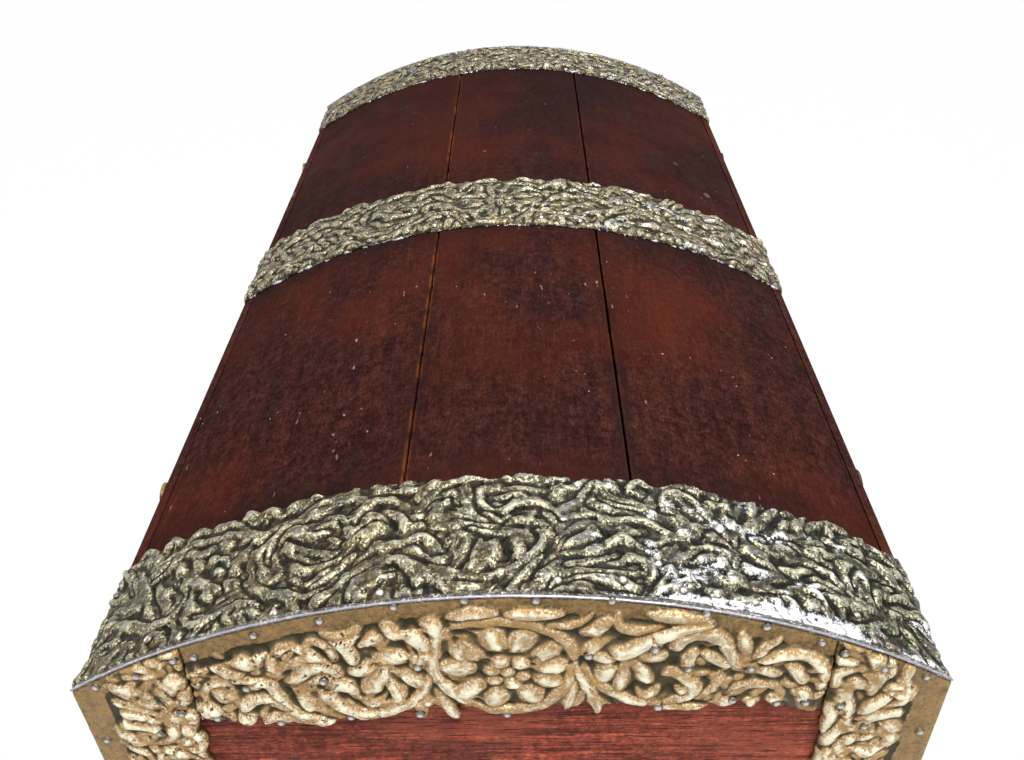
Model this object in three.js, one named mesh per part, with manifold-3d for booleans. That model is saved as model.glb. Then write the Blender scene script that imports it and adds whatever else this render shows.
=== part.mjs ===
// A dome top trunk of mahogany boards with embossed sheet metal mounts, two strap hinges,
// two hasps and two bail handles. Millimetres, +Z up, +X along the trunk, front towards -Y.
// The origin is on the floor under the middle of the middle runner.
import * as THREE from 'three';
import { ConvexGeometry } from 'three/addons/geometries/ConvexGeometry.js';
import { mergeVertices } from 'three/addons/utils/BufferGeometryUtils.js';
import Module from 'manifold-3d';

// Body boards
const boardLength = 880;
const boardDepth = 473;
const boardThickness = 20;
const bodyWallHeight = 330;
const baseThickness = 18;
const runnerHeight = 16;
const runnerWidth = 60;
const runnerEndInset = 90;
const runnerSideInset = 12;

// Lid boards
const lidSideHeight = 95;
const domeRadius = 435;
const plankThickness = 16;
const frontJointShare = -0.127;
const backJointShare = 0.154;
const plankJointGap = 1.6;
const railLipThickness = 8;
const lipJointGap = 0.8;
const ribWidth = 32;
const ribDepth = 34;

// Clearances
const seatGap = 0.3;
const closingGap = 0.6;
const runningGap = 0.35;
const overrun = 1;

// Sheet metal mounts
const sheetThickness = 3.2;
const bandWidth = 93;
const leftBandWidth = 82;
const middleBandPlace = -8.5;
const cornerWidth = 67;
const archDrop = 22;
const splitSetback = 0.8;

// Ornament embossed on the dome bands
const ornamentRise = 1.8;
const scrollWidth = 8;
const scrollCrestWidth = 3.6;
const rosetteLength = 68;
const rosetteWidth = 56;

// Strap hinges on the back
const hingePlaceShare = 0.6204;
const strapWidth = 28;
const strapThickness = 2.5;
const strapLength = 150;
const strapTopMargin = 2;
const knuckleRadius = 6;
const hingePinRadius = 3;
const hingePinHeadRadius = 4.6;
const hingePinHeadThickness = 1.6;

// Hasps on the lid and staples on the body
const haspWidth = 20;
const haspThickness = 2.6;
const haspPivotRise = 20;
const haspTipMargin = 3;
const haspSlotWidth = 6.5;
const haspSlotEndMargin = 12;
const haspSlotEndGap = 2;
const haspKnuckleRadius = 4;
const haspPinRadius = 2;
const haspPinHeadRadius = 3.2;
const haspPinHeadThickness = 1.2;
const haspPlateWidth = 36;
const haspPlateThickness = 1.6;
const haspPlateRise = 18;
const haspPlateFall = 12;
const stapleBar = 4;
const stapleHoleHeight = 8;
const stapleReach = 20;
const staplePlateHeight = 46;

// Bail handles on the ends
const handlePivotShare = 0.66;
const handlePlateWidth = 176;
const handlePlateHeight = 44;
const handlePlateThickness = 2.5;
const eyeSpacing = 120;
const eyeThickness = 8;
const eyeRadius = 9;
const eyeStemRadius = 4;
const eyeTailRadius = 7.5;
const eyeTailThickness = 2;
const bailRadius = 4.5;
const bailDrop = 60;
const bailEndLength = 4;
const bailShoulderRadius = 8;
const bailCornerRadius = 24;

// Facets
const domeSteps = 40;
const roundSides = 16;
const bailSides = 10;
const bailSteps = 56;
const cornerSteps = 12;
const petalCount = 9;
const petalSides = 6;
const rosetteSteps = 12;

// Levels and half sizes that follow from the sizes above
const halfLength = boardLength / 2;
const halfDepth = boardDepth / 2;
const wallBottom = runnerHeight + seatGap;
const splitHeight = wallBottom + bodyWallHeight;
const lidBottom = splitHeight + closingGap;
const innerHalfDepth = halfDepth - boardThickness;
const sheetOuter = seatGap + sheetThickness;
const halfDepthOverSheets = halfDepth + sheetOuter;
const halfLengthOverSheets = halfLength + sheetOuter;
const domeCentre = lidSideHeight - Math.sqrt(domeRadius ** 2 - halfDepth ** 2);
const plankUnderside = domeRadius - plankThickness;
const underPlanks = plankUnderside - seatGap;

// Place along the trunk that the hinges and hasps share
const hingePlace = hingePlaceShare * halfLength;

const ends = [
  { name: 'left', side: -1 },
  { name: 'right', side: 1 },
];
const faces = [
  { name: 'front', side: -1 },
  { name: 'back', side: 1 },
];

const wasm = await Module();
wasm.setup();

// Finishes
const finish = (color, roughness, metalness) => () =>
  new THREE.MeshStandardMaterial({ color, roughness, metalness });
const domeWood = finish(0x4a2420, 0.45, 0);
const endWood = finish(0x7a3424, 0.5, 0);
const innerWood = finish(0x7d4a33, 0.75, 0);
const silveredBrass = finish(0x8f8a74, 0.42, 1);
const gildedBrass = finish(0xb8925e, 0.42, 1);
const pewter = finish(0xa8a4b4, 0.4, 1);
const iron = finish(0x2b2624, 0.6, 1);
const brass = finish(0x8c7440, 0.4, 1);

// Joining and cutting closed meshes
function solidOf(geometry) {
  const bare = geometry.clone();
  bare.deleteAttribute('normal');
  bare.deleteAttribute('uv');
  const merged = mergeVertices(bare);
  const vertProperties = merged.getAttribute('position').array;
  const triVerts = new Uint32Array(merged.index.array);
  return new wasm.Manifold(new wasm.Mesh({ numProp: 3, vertProperties, triVerts }));
}

function geometryOf(solid) {
  const { vertProperties, triVerts } = solid.getMesh();
  const geometry = new THREE.BufferGeometry();
  geometry.setAttribute('position', new THREE.BufferAttribute(vertProperties, 3));
  geometry.setIndex(new THREE.BufferAttribute(triVerts, 1));
  geometry.computeVertexNormals();
  return geometry;
}

function joined(parts, cuts = []) {
  let solid = solidOf(parts[0]);
  for (const part of parts.slice(1)) solid = solid.add(solidOf(part));
  for (const cut of cuts) solid = solid.subtract(solidOf(cut));
  return geometryOf(solid);
}

// Simple shapes
function block([xLow, xHigh], [yLow, yHigh], [zLow, zHigh]) {
  const box = new THREE.BoxGeometry(xHigh - xLow, yHigh - yLow, zHigh - zLow);
  return box.translate((xLow + xHigh) / 2, (yLow + yHigh) / 2, (zLow + zHigh) / 2);
}

function rodAlongX(radius, xLow, xHigh) {
  const rod = new THREE.CylinderGeometry(radius, radius, xHigh - xLow, roundSides);
  return rod.rotateZ(Math.PI / 2).translate((xLow + xHigh) / 2, 0, 0);
}

function rodAlongY(radius, yLow, yHigh) {
  const rod = new THREE.CylinderGeometry(radius, radius, yHigh - yLow, roundSides);
  return rod.translate(0, (yLow + yHigh) / 2, 0);
}

function outline(points, holes = []) {
  const shape = new THREE.Shape(points.map(([a, b]) => new THREE.Vector2(a, b)));
  for (const [a, b, radius] of holes) {
    const hole = new THREE.Path();
    hole.absarc(a, b, radius, 0, 2 * Math.PI, true);
    shape.holes.push(hole);
  }
  return shape;
}

// A shape drawn in Y and Z, swept along +X from zero
function sweptAlongX(shape, length) {
  const solid = new THREE.ExtrudeGeometry(shape, {
    depth: length,
    bevelEnabled: false,
    curveSegments: roundSides,
  });
  const yzx = new THREE.Matrix4().makeBasis(
    new THREE.Vector3(0, 1, 0),
    new THREE.Vector3(0, 0, 1),
    new THREE.Vector3(1, 0, 0),
  );
  return solid.applyMatrix4(yzx);
}

// A shape drawn in X and Z, swept along +Y from zero
function sweptAlongY(shape, length) {
  const solid = new THREE.ExtrudeGeometry(shape, {
    depth: length,
    bevelEnabled: false,
    curveSegments: roundSides,
  });
  return solid.rotateX(Math.PI / 2).translate(0, length, 0);
}

// Points of a curve round the dome's centre, in Y and the lid's own Z
function domePoints(radius, yFrom, yTo) {
  const steps = Math.max(2, Math.round((domeSteps * Math.abs(yTo - yFrom)) / boardDepth));
  const angleFrom = Math.asin(yFrom / radius);
  const angleTo = Math.asin(yTo / radius);
  return Array.from({ length: steps + 1 }, (_, i) => {
    const angle = angleFrom + ((angleTo - angleFrom) * i) / steps;
    return [radius * Math.sin(angle), domeCentre + radius * Math.cos(angle)];
  });
}

// A flat strip that ends in a half circle, in X and Z
function roundEndedStrip(width, zLow, zHigh) {
  const radius = width / 2;
  const tip = Array.from({ length: cornerSteps + 1 }, (_, i) => {
    const angle = (Math.PI * i) / cornerSteps;
    return [radius * Math.cos(angle), zHigh - radius + radius * Math.sin(angle)];
  });
  return [[-radius, zLow], [radius, zLow], ...tip];
}

function add(parent, name, geometry, material, [x, y, z] = [0, 0, 0], turn = {}) {
  const mesh = new THREE.Mesh(geometry, material());
  mesh.name = name;
  mesh.position.set(x, y, z);
  mesh.rotation.set(turn.x ?? 0, turn.y ?? 0, turn.z ?? 0);
  parent.add(mesh);
  return mesh;
}

function addGroup(parent, [x, y, z], turnZ = 0) {
  const group = new THREE.Group();
  group.position.set(x, y, z);
  group.rotation.z = turnZ;
  parent.add(group);
  return group;
}

const trunk = new THREE.Group();
const body = addGroup(trunk, [0, 0, 0]);
const lid = addGroup(trunk, [0, 0, lidBottom]);

// Low edge along X of a piece of a given length that lies against an end's outer face
const againstEnd = (side, gap, length) => (side > 0 ? halfLength + gap : -halfLength - gap - length);

// Body woodwork: base board, walls and the runners under them
const handlePivotHeight = wallBottom + handlePivotShare * bodyWallHeight;
const stemHoleRadius = eyeStemRadius + runningGap;

function addBodyBoards() {
  const wallLevels = [0, bodyWallHeight];
  for (const { name, side } of faces) {
    const wall = block([-halfLength, halfLength], [-boardThickness / 2, boardThickness / 2], wallLevels);
    const place = [0, side * (halfDepth - boardThickness / 2), wallBottom];
    add(body, `${name}_board`, wall, domeWood, place);
  }
  const endHalf = innerHalfDepth - seatGap;
  const stemHoles = [-1, 1].map((s) => [
    (s * eyeSpacing) / 2,
    handlePivotHeight - wallBottom,
    stemHoleRadius,
  ]);
  const endOutline = outline(
    [[-endHalf, 0], [endHalf, 0], [endHalf, bodyWallHeight], [-endHalf, bodyWallHeight]],
    stemHoles,
  );
  for (const { name, side } of ends) {
    const x = againstEnd(side, -boardThickness, boardThickness);
    const geometry = sweptAlongX(endOutline, boardThickness);
    add(body, `end_board_${name}`, geometry, endWood, [x, 0, wallBottom]);
  }
  const baseHalf = halfLength - boardThickness - seatGap;
  const base = block([-baseHalf, baseHalf], [-endHalf, endHalf], [0, baseThickness]);
  add(body, 'base_board', base, innerWood, [0, 0, wallBottom]);
}

function addRunners() {
  const reach = halfDepth - runnerSideInset;
  const places = { left: runnerEndInset - halfLength, middle: 0, right: halfLength - runnerEndInset };
  for (const [name, x] of Object.entries(places)) {
    const runner = block([-runnerWidth / 2, runnerWidth / 2], [-reach, reach], [0, runnerHeight]);
    add(body, `runner_${name}`, runner, innerWood, [x, 0, 0]);
  }
}

// Lid woodwork: rails that carry the planks' edges, end boards, a middle rib and three planks
function railOutline() {
  const lipInner = halfDepth - railLipThickness;
  return outline([
    [innerHalfDepth, 0],
    [halfDepth, 0],
    ...domePoints(domeRadius, halfDepth, lipInner),
    ...domePoints(underPlanks, lipInner, innerHalfDepth),
  ]);
}

function addRails() {
  for (const { name, side } of faces) {
    const rail = sweptAlongX(railOutline(), boardLength).translate(-halfLength, 0, 0);
    add(lid, `lid_${name}_rail`, rail, domeWood, [0, 0, 0], { z: side > 0 ? 0 : Math.PI });
  }
}

function addPlanks() {
  const edge = halfDepth - railLipThickness - lipJointGap;
  const frontJoint = frontJointShare * boardDepth;
  const backJoint = backJointShare * boardDepth;
  const halfGap = plankJointGap / 2;
  const planks = {
    front: [-edge, frontJoint - halfGap],
    crown: [frontJoint + halfGap, backJoint - halfGap],
    back: [backJoint + halfGap, edge],
  };
  for (const [name, [yLow, yHigh]] of Object.entries(planks)) {
    const section = outline([
      ...domePoints(domeRadius, yHigh, yLow),
      ...domePoints(plankUnderside, yLow, yHigh),
    ]);
    const plank = sweptAlongX(section, boardLength).translate(-halfLength, 0, 0);
    add(lid, `lid_plank_${name}`, plank, domeWood);
  }
}

function addLidEndsAndRib() {
  const reach = innerHalfDepth - seatGap;
  const top = domePoints(underPlanks, reach, -reach);
  for (const { name, side } of ends) {
    const board = sweptAlongX(outline([[-reach, 0], [reach, 0], ...top]), boardThickness);
    const x = againstEnd(side, -boardThickness, boardThickness);
    add(lid, `lid_end_board_${name}`, board, endWood, [x, 0, 0]);
  }
  const underside = domePoints(underPlanks - ribDepth, -reach, reach);
  const rib = sweptAlongX(outline([...top, ...underside]), ribWidth);
  add(lid, 'lid_rib', rib, innerWood, [-ribWidth / 2, 0, 0]);
}

// Sheet mounts: bands over the dome and down its sides, edging, arch and corner mounts
const sheetInner = seatGap;

function bandOutline() {
  const outerRadius = domeRadius + sheetOuter;
  const innerRadius = domeRadius + sheetInner;
  const innerFace = halfDepth + sheetInner;
  return outline([
    [halfDepthOverSheets, splitSetback],
    ...domePoints(outerRadius, halfDepthOverSheets, -halfDepthOverSheets),
    [-halfDepthOverSheets, splitSetback],
    [-innerFace, splitSetback],
    ...domePoints(innerRadius, -innerFace, innerFace),
    [innerFace, splitSetback],
  ]);
}

// Low and high edge along X of the band at the left end, in the middle and at the right end
const bandStretches = {
  left: [-halfLength, leftBandWidth - halfLengthOverSheets],
  middle: [middleBandPlace - bandWidth / 2, middleBandPlace + bandWidth / 2],
  right: [halfLengthOverSheets - bandWidth, halfLength],
};

// The bands' outer face, followed from the crown over the dome and down a leg
const domeReach = (domeRadius + sheetOuter) * Math.asin(halfDepthOverSheets / (domeRadius + sheetOuter));
const springOverSheets = domeCentre + Math.sqrt((domeRadius + sheetOuter) ** 2 - halfDepthOverSheets ** 2);
const legLength = springOverSheets - splitSetback;

function onBand(along, x, rise) {
  const side = Math.sign(along);
  const beyond = Math.abs(along) - domeReach;
  if (beyond > 0) {
    return new THREE.Vector3(x, side * (halfDepthOverSheets + rise), springOverSheets - beyond);
  }
  const angle = along / (domeRadius + sheetOuter);
  const radius = domeRadius + sheetOuter + rise;
  return new THREE.Vector3(x, radius * Math.sin(angle), domeCentre + radius * Math.cos(angle));
}

// A form raised on a band, from its foot inside the sheet to its crest
const ornamentFoot = -sheetThickness / 2;

function raisedBoss(foot, crest) {
  return new ConvexGeometry([
    ...foot.map(({ x: along, y: x }) => onBand(along, x, ornamentFoot)),
    ...crest.map(({ x: along, y: x }) => onBand(along, x, ornamentRise)),
  ]);
}

// A winding rib through stations along and across a band; a closed one ends where it starts
function raisedRib(stations, closed = false) {
  const count = stations.length;
  const neighbour = (i) => (closed ? (i + count) % count : Math.min(Math.max(i, 0), count - 1));
  const section = [
    [scrollWidth / 2, ornamentFoot],
    [scrollCrestWidth / 2, ornamentRise],
    [-scrollCrestWidth / 2, ornamentRise],
    [-scrollWidth / 2, ornamentFoot],
  ];
  const corners = stations.flatMap((station, i) => {
    const heading = stations[neighbour(i + 1)].clone().sub(stations[neighbour(i - 1)]).normalize();
    const across = new THREE.Vector2(heading.y, -heading.x);
    return section.map(([aside, rise]) => {
      const { x: along, y: x } = station.clone().addScaledVector(across, aside);
      return onBand(along, x, rise);
    });
  });
  const quads = stations.slice(closed ? 0 : 1).flatMap((_, i) =>
    section.map((__, k) => {
      const from = i * section.length;
      const to = neighbour(i + 1) * section.length;
      const next = (k + 1) % section.length;
      return [from + k, from + next, to + next, to + k];
    }));
  const last = (count - 1) * section.length;
  const caps = closed ? [] : [[3, 2, 1, 0], [last, last + 1, last + 2, last + 3]];
  const rib = new THREE.BufferGeometry().setFromPoints(corners);
  rib.setIndex([...quads, ...caps].flatMap(([a, b, c, d]) => [a, b, c, a, c, d]));
  return rib;
}

// Scroll points are shares of the way along and across: along, from the crown to the dome's edge
// or down a leg; across, from a band's edge at its right to its left one
const rosettePlaceShares = [-0.055, 0.46];
const petalPlaceShare = 0.58;
const petalLengthShare = 0.22;
const petalWidthShare = 0.17;
const crestShare = 0.5;
const domeScrollShares = [
  [[0.09, 0.59], [0.18, 0.67], [0.28, 0.62], [0.36, 0.65]],
  [[0.18, 0.3], [0.25, 0.19], [0.31, 0.3], [0.28, 0.41]],
  [[0.33, 0.75], [0.35, 0.86], [0.4, 0.92], [0.45, 0.76]],
  [[0.34, 0.54], [0.41, 0.59], [0.39, 0.45]],
  [[0.4, 0.33], [0.47, 0.41], [0.53, 0.29]],
  [[0.54, 0.58], [0.61, 0.62], [0.67, 0.55]],
  [[0.57, 0.24], [0.63, 0.29], [0.72, 0.16]],
  [[0.64, 0.92], [0.62, 0.86], [0.59, 0.8]],
  [[0.68, 0.62], [0.7, 0.71], [0.75, 0.76]],
  [[0.81, 0.49], [0.8, 0.41], [0.73, 0.3]],
  [[0.87, 0.76], [0.87, 0.65], [0.94, 0.52]],
  [[0.83, 0.32], [0.83, 0.22], [0.89, 0.19]],
  [[-0.17, 0.71], [-0.15, 0.85], [-0.1, 0.84], [-0.09, 0.75]],
  [[-0.35, 0.16], [-0.27, 0.27], [-0.2, 0.18]],
  [[-0.24, 0.61], [-0.28, 0.77], [-0.33, 0.65]],
  [[-0.35, 0.65], [-0.36, 0.47], [-0.44, 0.49]],
  [[-0.33, 0.43], [-0.36, 0.25], [-0.43, 0.12]],
  [[-0.47, 0.78], [-0.42, 0.9], [-0.35, 0.88]],
  [[-0.56, 0.31], [-0.5, 0.21], [-0.42, 0.11]],
  [[-0.64, 0.49], [-0.6, 0.4], [-0.56, 0.54]],
  [[-0.72, 0.86], [-0.66, 0.83], [-0.59, 0.76]],
  [[-0.87, 0.62], [-0.81, 0.8], [-0.75, 0.92]],
  [[-0.84, 0.48], [-0.79, 0.28], [-0.66, 0.15]],
  [[-0.67, 0.53], [-0.65, 0.47], [-0.62, 0.6]],
  [[-0.96, 0.28], [-0.91, 0.36], [-0.84, 0.32]],
];
const legScrollShares = [
  [[0.05, 0.62], [0.22, 0.82], [0.4, 0.68], [0.54, 0.32], [0.74, 0.22], [0.9, 0.5]],
  [[0.08, 0.2], [0.26, 0.34], [0.16, 0.52]],
  [[0.62, 0.86], [0.82, 0.76], [0.7, 0.58]],
];

function raisedRosette(along, x, width) {
  const halfAlong = rosetteLength / 2;
  const halfAcross = ((rosetteWidth / 2) * width) / bandWidth;
  const turn = (count, i) => (2 * Math.PI * i) / count;
  const around = (share, angle) =>
    new THREE.Vector2(
      along + share * halfAlong * Math.cos(angle),
      x + share * halfAcross * Math.sin(angle),
    );
  const ring = Array.from({ length: rosetteSteps }, (_, i) => around(1, turn(rosetteSteps, i)));
  const petals = Array.from({ length: petalCount }, (_, i) => {
    const heading = turn(petalCount, i);
    const centre = around(petalPlaceShare, heading);
    const rim = (size) =>
      Array.from({ length: petalSides }, (_, k) => {
        const angle = turn(petalSides, k);
        const out = size * petalLengthShare * rosetteLength * Math.cos(angle) / 2;
        const aside = size * petalWidthShare * rosetteWidth * Math.sin(angle) / 2;
        return new THREE.Vector2(out, aside).rotateAround(new THREE.Vector2(), heading).add(centre);
      });
    return raisedBoss(rim(1), rim(crestShare));
  });
  const hub = (size) =>
    Array.from({ length: petalSides }, (_, k) => around(size * petalLengthShare, turn(petalSides, k)));
  return [raisedRib(ring, true), ...petals, raisedBoss(hub(1), hub(crestShare))];
}

function bandOrnament(width) {
  const across = (share) => width - share * width;
  const ribs = (table, along) =>
    table.map((points) => {
      const line = new THREE.SplineCurve(points.map(([a, b]) => new THREE.Vector2(along(a), across(b))));
      return raisedRib(line.getPoints(points.length));
    });
  const [rosetteAlong, rosetteAcross] = rosettePlaceShares;
  return [
    ...raisedRosette(rosetteAlong * domeReach, across(rosetteAcross), width),
    ...ribs(domeScrollShares, (share) => share * domeReach),
    ...ribs(legScrollShares, (share) => domeReach + share * legLength),
    ...ribs(legScrollShares, (share) => -domeReach - share * legLength),
  ];
}

function addLidBands() {
  for (const [name, [xLow, xHigh]] of Object.entries(bandStretches)) {
    const width = xHigh - xLow;
    const band = joined([sweptAlongX(bandOutline(), width), ...bandOrnament(width)]);
    add(lid, `lid_band_${name}`, band, silveredBrass, [xLow, 0, 0]);
  }
}

function addArchMounts() {
  const seam = halfDepthOverSheets - cornerWidth;
  const archReach = seam - seatGap;
  const archLow = lidSideHeight - archDrop;
  const arch = outline([
    [-archReach, archLow],
    [archReach, archLow],
    ...domePoints(domeRadius, archReach, -archReach),
  ]);
  const edging = outline([
    ...domePoints(domeRadius + sheetOuter, halfDepthOverSheets, -halfDepthOverSheets),
    ...domePoints(domeRadius + sheetInner, -halfDepthOverSheets, halfDepthOverSheets),
  ]);
  for (const { name, side } of ends) {
    const x = againstEnd(side, sheetInner, sheetThickness);
    add(lid, `arch_mount_${name}`, sweptAlongX(arch, sheetThickness), gildedBrass, [x, 0, 0]);
    add(lid, `arch_edging_${name}`, sweptAlongX(edging, sheetThickness), pewter, [x, 0, 0]);
    for (const face of faces) {
      const corner = outline([
        [face.side * seam, splitSetback],
        [face.side * halfDepthOverSheets, splitSetback],
        ...domePoints(domeRadius, face.side * halfDepthOverSheets, face.side * seam),
      ]);
      const node = `lid_corner_mount_${face.name}_${name}`;
      add(lid, node, sweptAlongX(corner, sheetThickness), gildedBrass, [x, 0, 0]);
    }
  }
}

function addBodyMounts() {
  const levels = [0, bodyWallHeight - splitSetback];
  const seam = halfDepthOverSheets - cornerWidth;
  for (const face of faces) {
    const y = face.side * (halfDepth + sheetInner + sheetThickness / 2);
    for (const [name, stretch] of Object.entries(bandStretches)) {
      const strap = block(stretch, [-sheetThickness / 2, sheetThickness / 2], levels);
      add(body, `body_strap_${face.name}_${name}`, strap, silveredBrass, [0, y, wallBottom]);
    }
    for (const { name, side } of ends) {
      const x = againstEnd(side, sheetInner, sheetThickness);
      const corner = block([0, sheetThickness], [-cornerWidth / 2, cornerWidth / 2], levels);
      const place = [x, face.side * (seam + cornerWidth / 2), wallBottom];
      add(body, `body_corner_mount_${face.name}_${name}`, corner, gildedBrass, place);
    }
  }
}

// Hinge leaves stand behind an axis along X: a flat leaf upwards with knuckles round a pin
function knuckleStretches(width) {
  const third = width / 3;
  const gap = runningGap / 2;
  return {
    middle: [[-third / 2 + gap, third / 2 - gap]],
    outer: [
      [-width / 2, -third / 2 - gap],
      [third / 2 + gap, width / 2],
    ],
  };
}

function hingeLeaf({ width, thickness, reach, radius, pinRadius, stretches, cuts = [] }) {
  const leafLow = radius + runningGap;
  const leaf = sweptAlongY(outline(roundEndedStrip(width, leafLow, reach)), thickness);
  leaf.translate(0, -radius, 0);
  const parts = [leaf];
  for (const stretch of stretches) {
    parts.push(block(stretch, [-radius, thickness - radius], [0, leafLow + overrun]));
    parts.push(rodAlongX(radius, ...stretch));
  }
  const bore = rodAlongX(pinRadius + runningGap, -width, width);
  return joined(parts, [bore, ...cuts]);
}

// A pin along X with a flat head at each end
function headedPin(radius, headRadius, headThickness, width) {
  const half = width / 2 + runningGap;
  const tip = half + headThickness;
  const profile = [
    [0, -tip],
    [headRadius, -tip],
    [headRadius, -half],
    [radius, -half],
    [radius, half],
    [headRadius, half],
    [headRadius, tip],
    [0, tip],
  ].map(([r, along]) => new THREE.Vector2(r, along));
  return new THREE.LatheGeometry(profile, roundSides).rotateZ(Math.PI / 2);
}

// Strap hinges: the lid's strap has the middle knuckle and the body's strap the outer two
const hingeAxisBack = halfDepth + seatGap + knuckleRadius;
const hingeAxisHeight = splitHeight + closingGap / 2;

function addHinges() {
  const shared = {
    width: strapWidth,
    thickness: strapThickness,
    radius: knuckleRadius,
    pinRadius: hingePinRadius,
  };
  const { middle, outer } = knuckleStretches(strapWidth);
  const lidReach = lidSideHeight + closingGap / 2 - strapTopMargin;
  for (const { name, side } of ends) {
    const x = side * hingePlace;
    const lidLeaf = hingeLeaf({ ...shared, reach: lidReach, stretches: middle });
    const lidPlace = [x, hingeAxisBack, hingeAxisHeight - lidBottom];
    add(lid, `hinge_strap_lid_${name}`, lidLeaf, iron, lidPlace);
    const bodyLeaf = hingeLeaf({ ...shared, reach: strapLength, stretches: outer });
    const bodyPlace = [x, hingeAxisBack, hingeAxisHeight];
    add(body, `hinge_strap_body_${name}`, bodyLeaf, iron, bodyPlace, { y: Math.PI });
    const pin = headedPin(hingePinRadius, hingePinHeadRadius, hingePinHeadThickness, strapWidth);
    add(body, `hinge_pin_${name}`, pin, iron, bodyPlace);
  }
}

// Hasps: each stands folded up against the lid and swings out and down over its staple
const haspAxisOut = haspKnuckleRadius + runningGap;
const haspAxisFront = -(halfDepth + seatGap + haspPlateThickness + haspAxisOut);
const haspReach = lidSideHeight - haspPivotRise - haspTipMargin;
const stapleHalfHeight = stapleHoleHeight / 2 + stapleBar;
const haspSlotHalfLength = stapleHalfHeight + haspSlotEndGap;
const haspSlotPlace = haspReach - haspSlotEndMargin - haspSlotHalfLength;

function haspPlate(stretches) {
  const face = -haspAxisOut;
  const parts = [
    block(
      [-haspPlateWidth / 2, haspPlateWidth / 2],
      [face - haspPlateThickness, face],
      [-haspPlateFall, haspPlateRise],
    ),
  ];
  for (const stretch of stretches) {
    const lugRise = [-haspKnuckleRadius, haspKnuckleRadius];
    parts.push(block(stretch, [face - haspPlateThickness / 2, 0], lugRise));
    parts.push(rodAlongX(haspKnuckleRadius, ...stretch));
  }
  return joined(parts, [rodAlongX(haspPinRadius + runningGap, -haspPlateWidth, haspPlateWidth)]);
}

function haspLeaf(stretches) {
  const slot = block(
    [-haspSlotWidth / 2, haspSlotWidth / 2],
    [-haspKnuckleRadius - overrun, haspThickness - haspKnuckleRadius + overrun],
    [haspSlotPlace - haspSlotHalfLength, haspSlotPlace + haspSlotHalfLength],
  );
  return hingeLeaf({
    width: haspWidth,
    thickness: haspThickness,
    reach: haspReach,
    radius: haspKnuckleRadius,
    pinRadius: haspPinRadius,
    stretches,
    cuts: [slot],
  });
}

function addHasps() {
  const { middle, outer } = knuckleStretches(haspWidth);
  for (const { name, side } of ends) {
    const pivot = addGroup(lid, [side * hingePlace, haspAxisFront, haspPivotRise], Math.PI);
    add(pivot, `hasp_plate_${name}`, haspPlate(outer), brass);
    add(pivot, `hasp_${name}`, haspLeaf(middle), brass);
    const pin = headedPin(haspPinRadius, haspPinHeadRadius, haspPinHeadThickness, haspWidth);
    add(pivot, `hasp_pin_${name}`, pin, brass);
  }
}

// A staple's U in Y and Z, rooted in its plate
function stapleOutline(root) {
  const bendPlace = seatGap + haspPlateThickness + stapleReach - stapleHalfHeight;
  const bend = (radius, from, to) =>
    Array.from({ length: cornerSteps + 1 }, (_, i) => {
      const angle = from + ((to - from) * i) / cornerSteps;
      return [bendPlace + radius * Math.cos(angle), radius * Math.sin(angle)];
    });
  const quarter = Math.PI / 2;
  return outline([
    [root, -stapleHalfHeight],
    ...bend(stapleHalfHeight, -quarter, quarter),
    [root, stapleHalfHeight],
    [root, stapleHoleHeight / 2],
    ...bend(stapleHoleHeight / 2, quarter, -quarter),
    [root, -stapleHoleHeight / 2],
  ]);
}

function addStaples() {
  const height = lidBottom + haspPivotRise - haspSlotPlace;
  for (const { name, side } of ends) {
    const plate = block(
      [-haspPlateWidth / 2, haspPlateWidth / 2],
      [seatGap, seatGap + haspPlateThickness],
      [-staplePlateHeight / 2, staplePlateHeight / 2],
    );
    const loop = sweptAlongX(stapleOutline(seatGap + haspPlateThickness / 2), stapleBar);
    loop.translate(-stapleBar / 2, 0, 0);
    const seat = addGroup(body, [side * hingePlace, -halfDepth, height], Math.PI);
    add(seat, `staple_plate_${name}`, joined([plate, loop]), brass);
  }
}

// Bail handles: a plate, two eyes clenched through the end board and a bail that hangs in them
const handlePivotOut = seatGap + handlePlateThickness + seatGap + eyeRadius;

function handlePlateShape() {
  const radius = handlePlateHeight / 2;
  const straight = handlePlateWidth / 2 - radius;
  const end = (side, from) =>
    Array.from({ length: cornerSteps + 1 }, (_, i) => {
      const angle = from + (Math.PI * i) / cornerSteps;
      return [side * straight + radius * Math.cos(angle), radius * Math.sin(angle)];
    });
  const holes = [-1, 1].map((side) => [(side * eyeSpacing) / 2, 0, stemHoleRadius]);
  return outline([...end(1, -Math.PI / 2), ...end(-1, Math.PI / 2)], holes);
}

// A ring with a stem towards -X that ends in a clenched tail inside the end board
function handleEye() {
  const innerFace = -handlePivotOut - boardThickness - seatGap;
  const tailEnd = innerFace - eyeTailThickness;
  return joined(
    [
      rodAlongY(eyeRadius, -eyeThickness / 2, eyeThickness / 2),
      rodAlongX(eyeStemRadius, tailEnd, -bailRadius - runningGap),
      rodAlongX(eyeTailRadius, tailEnd, innerFace),
    ],
    [rodAlongY(bailRadius + runningGap, -eyeThickness, eyeThickness)],
  );
}

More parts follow.
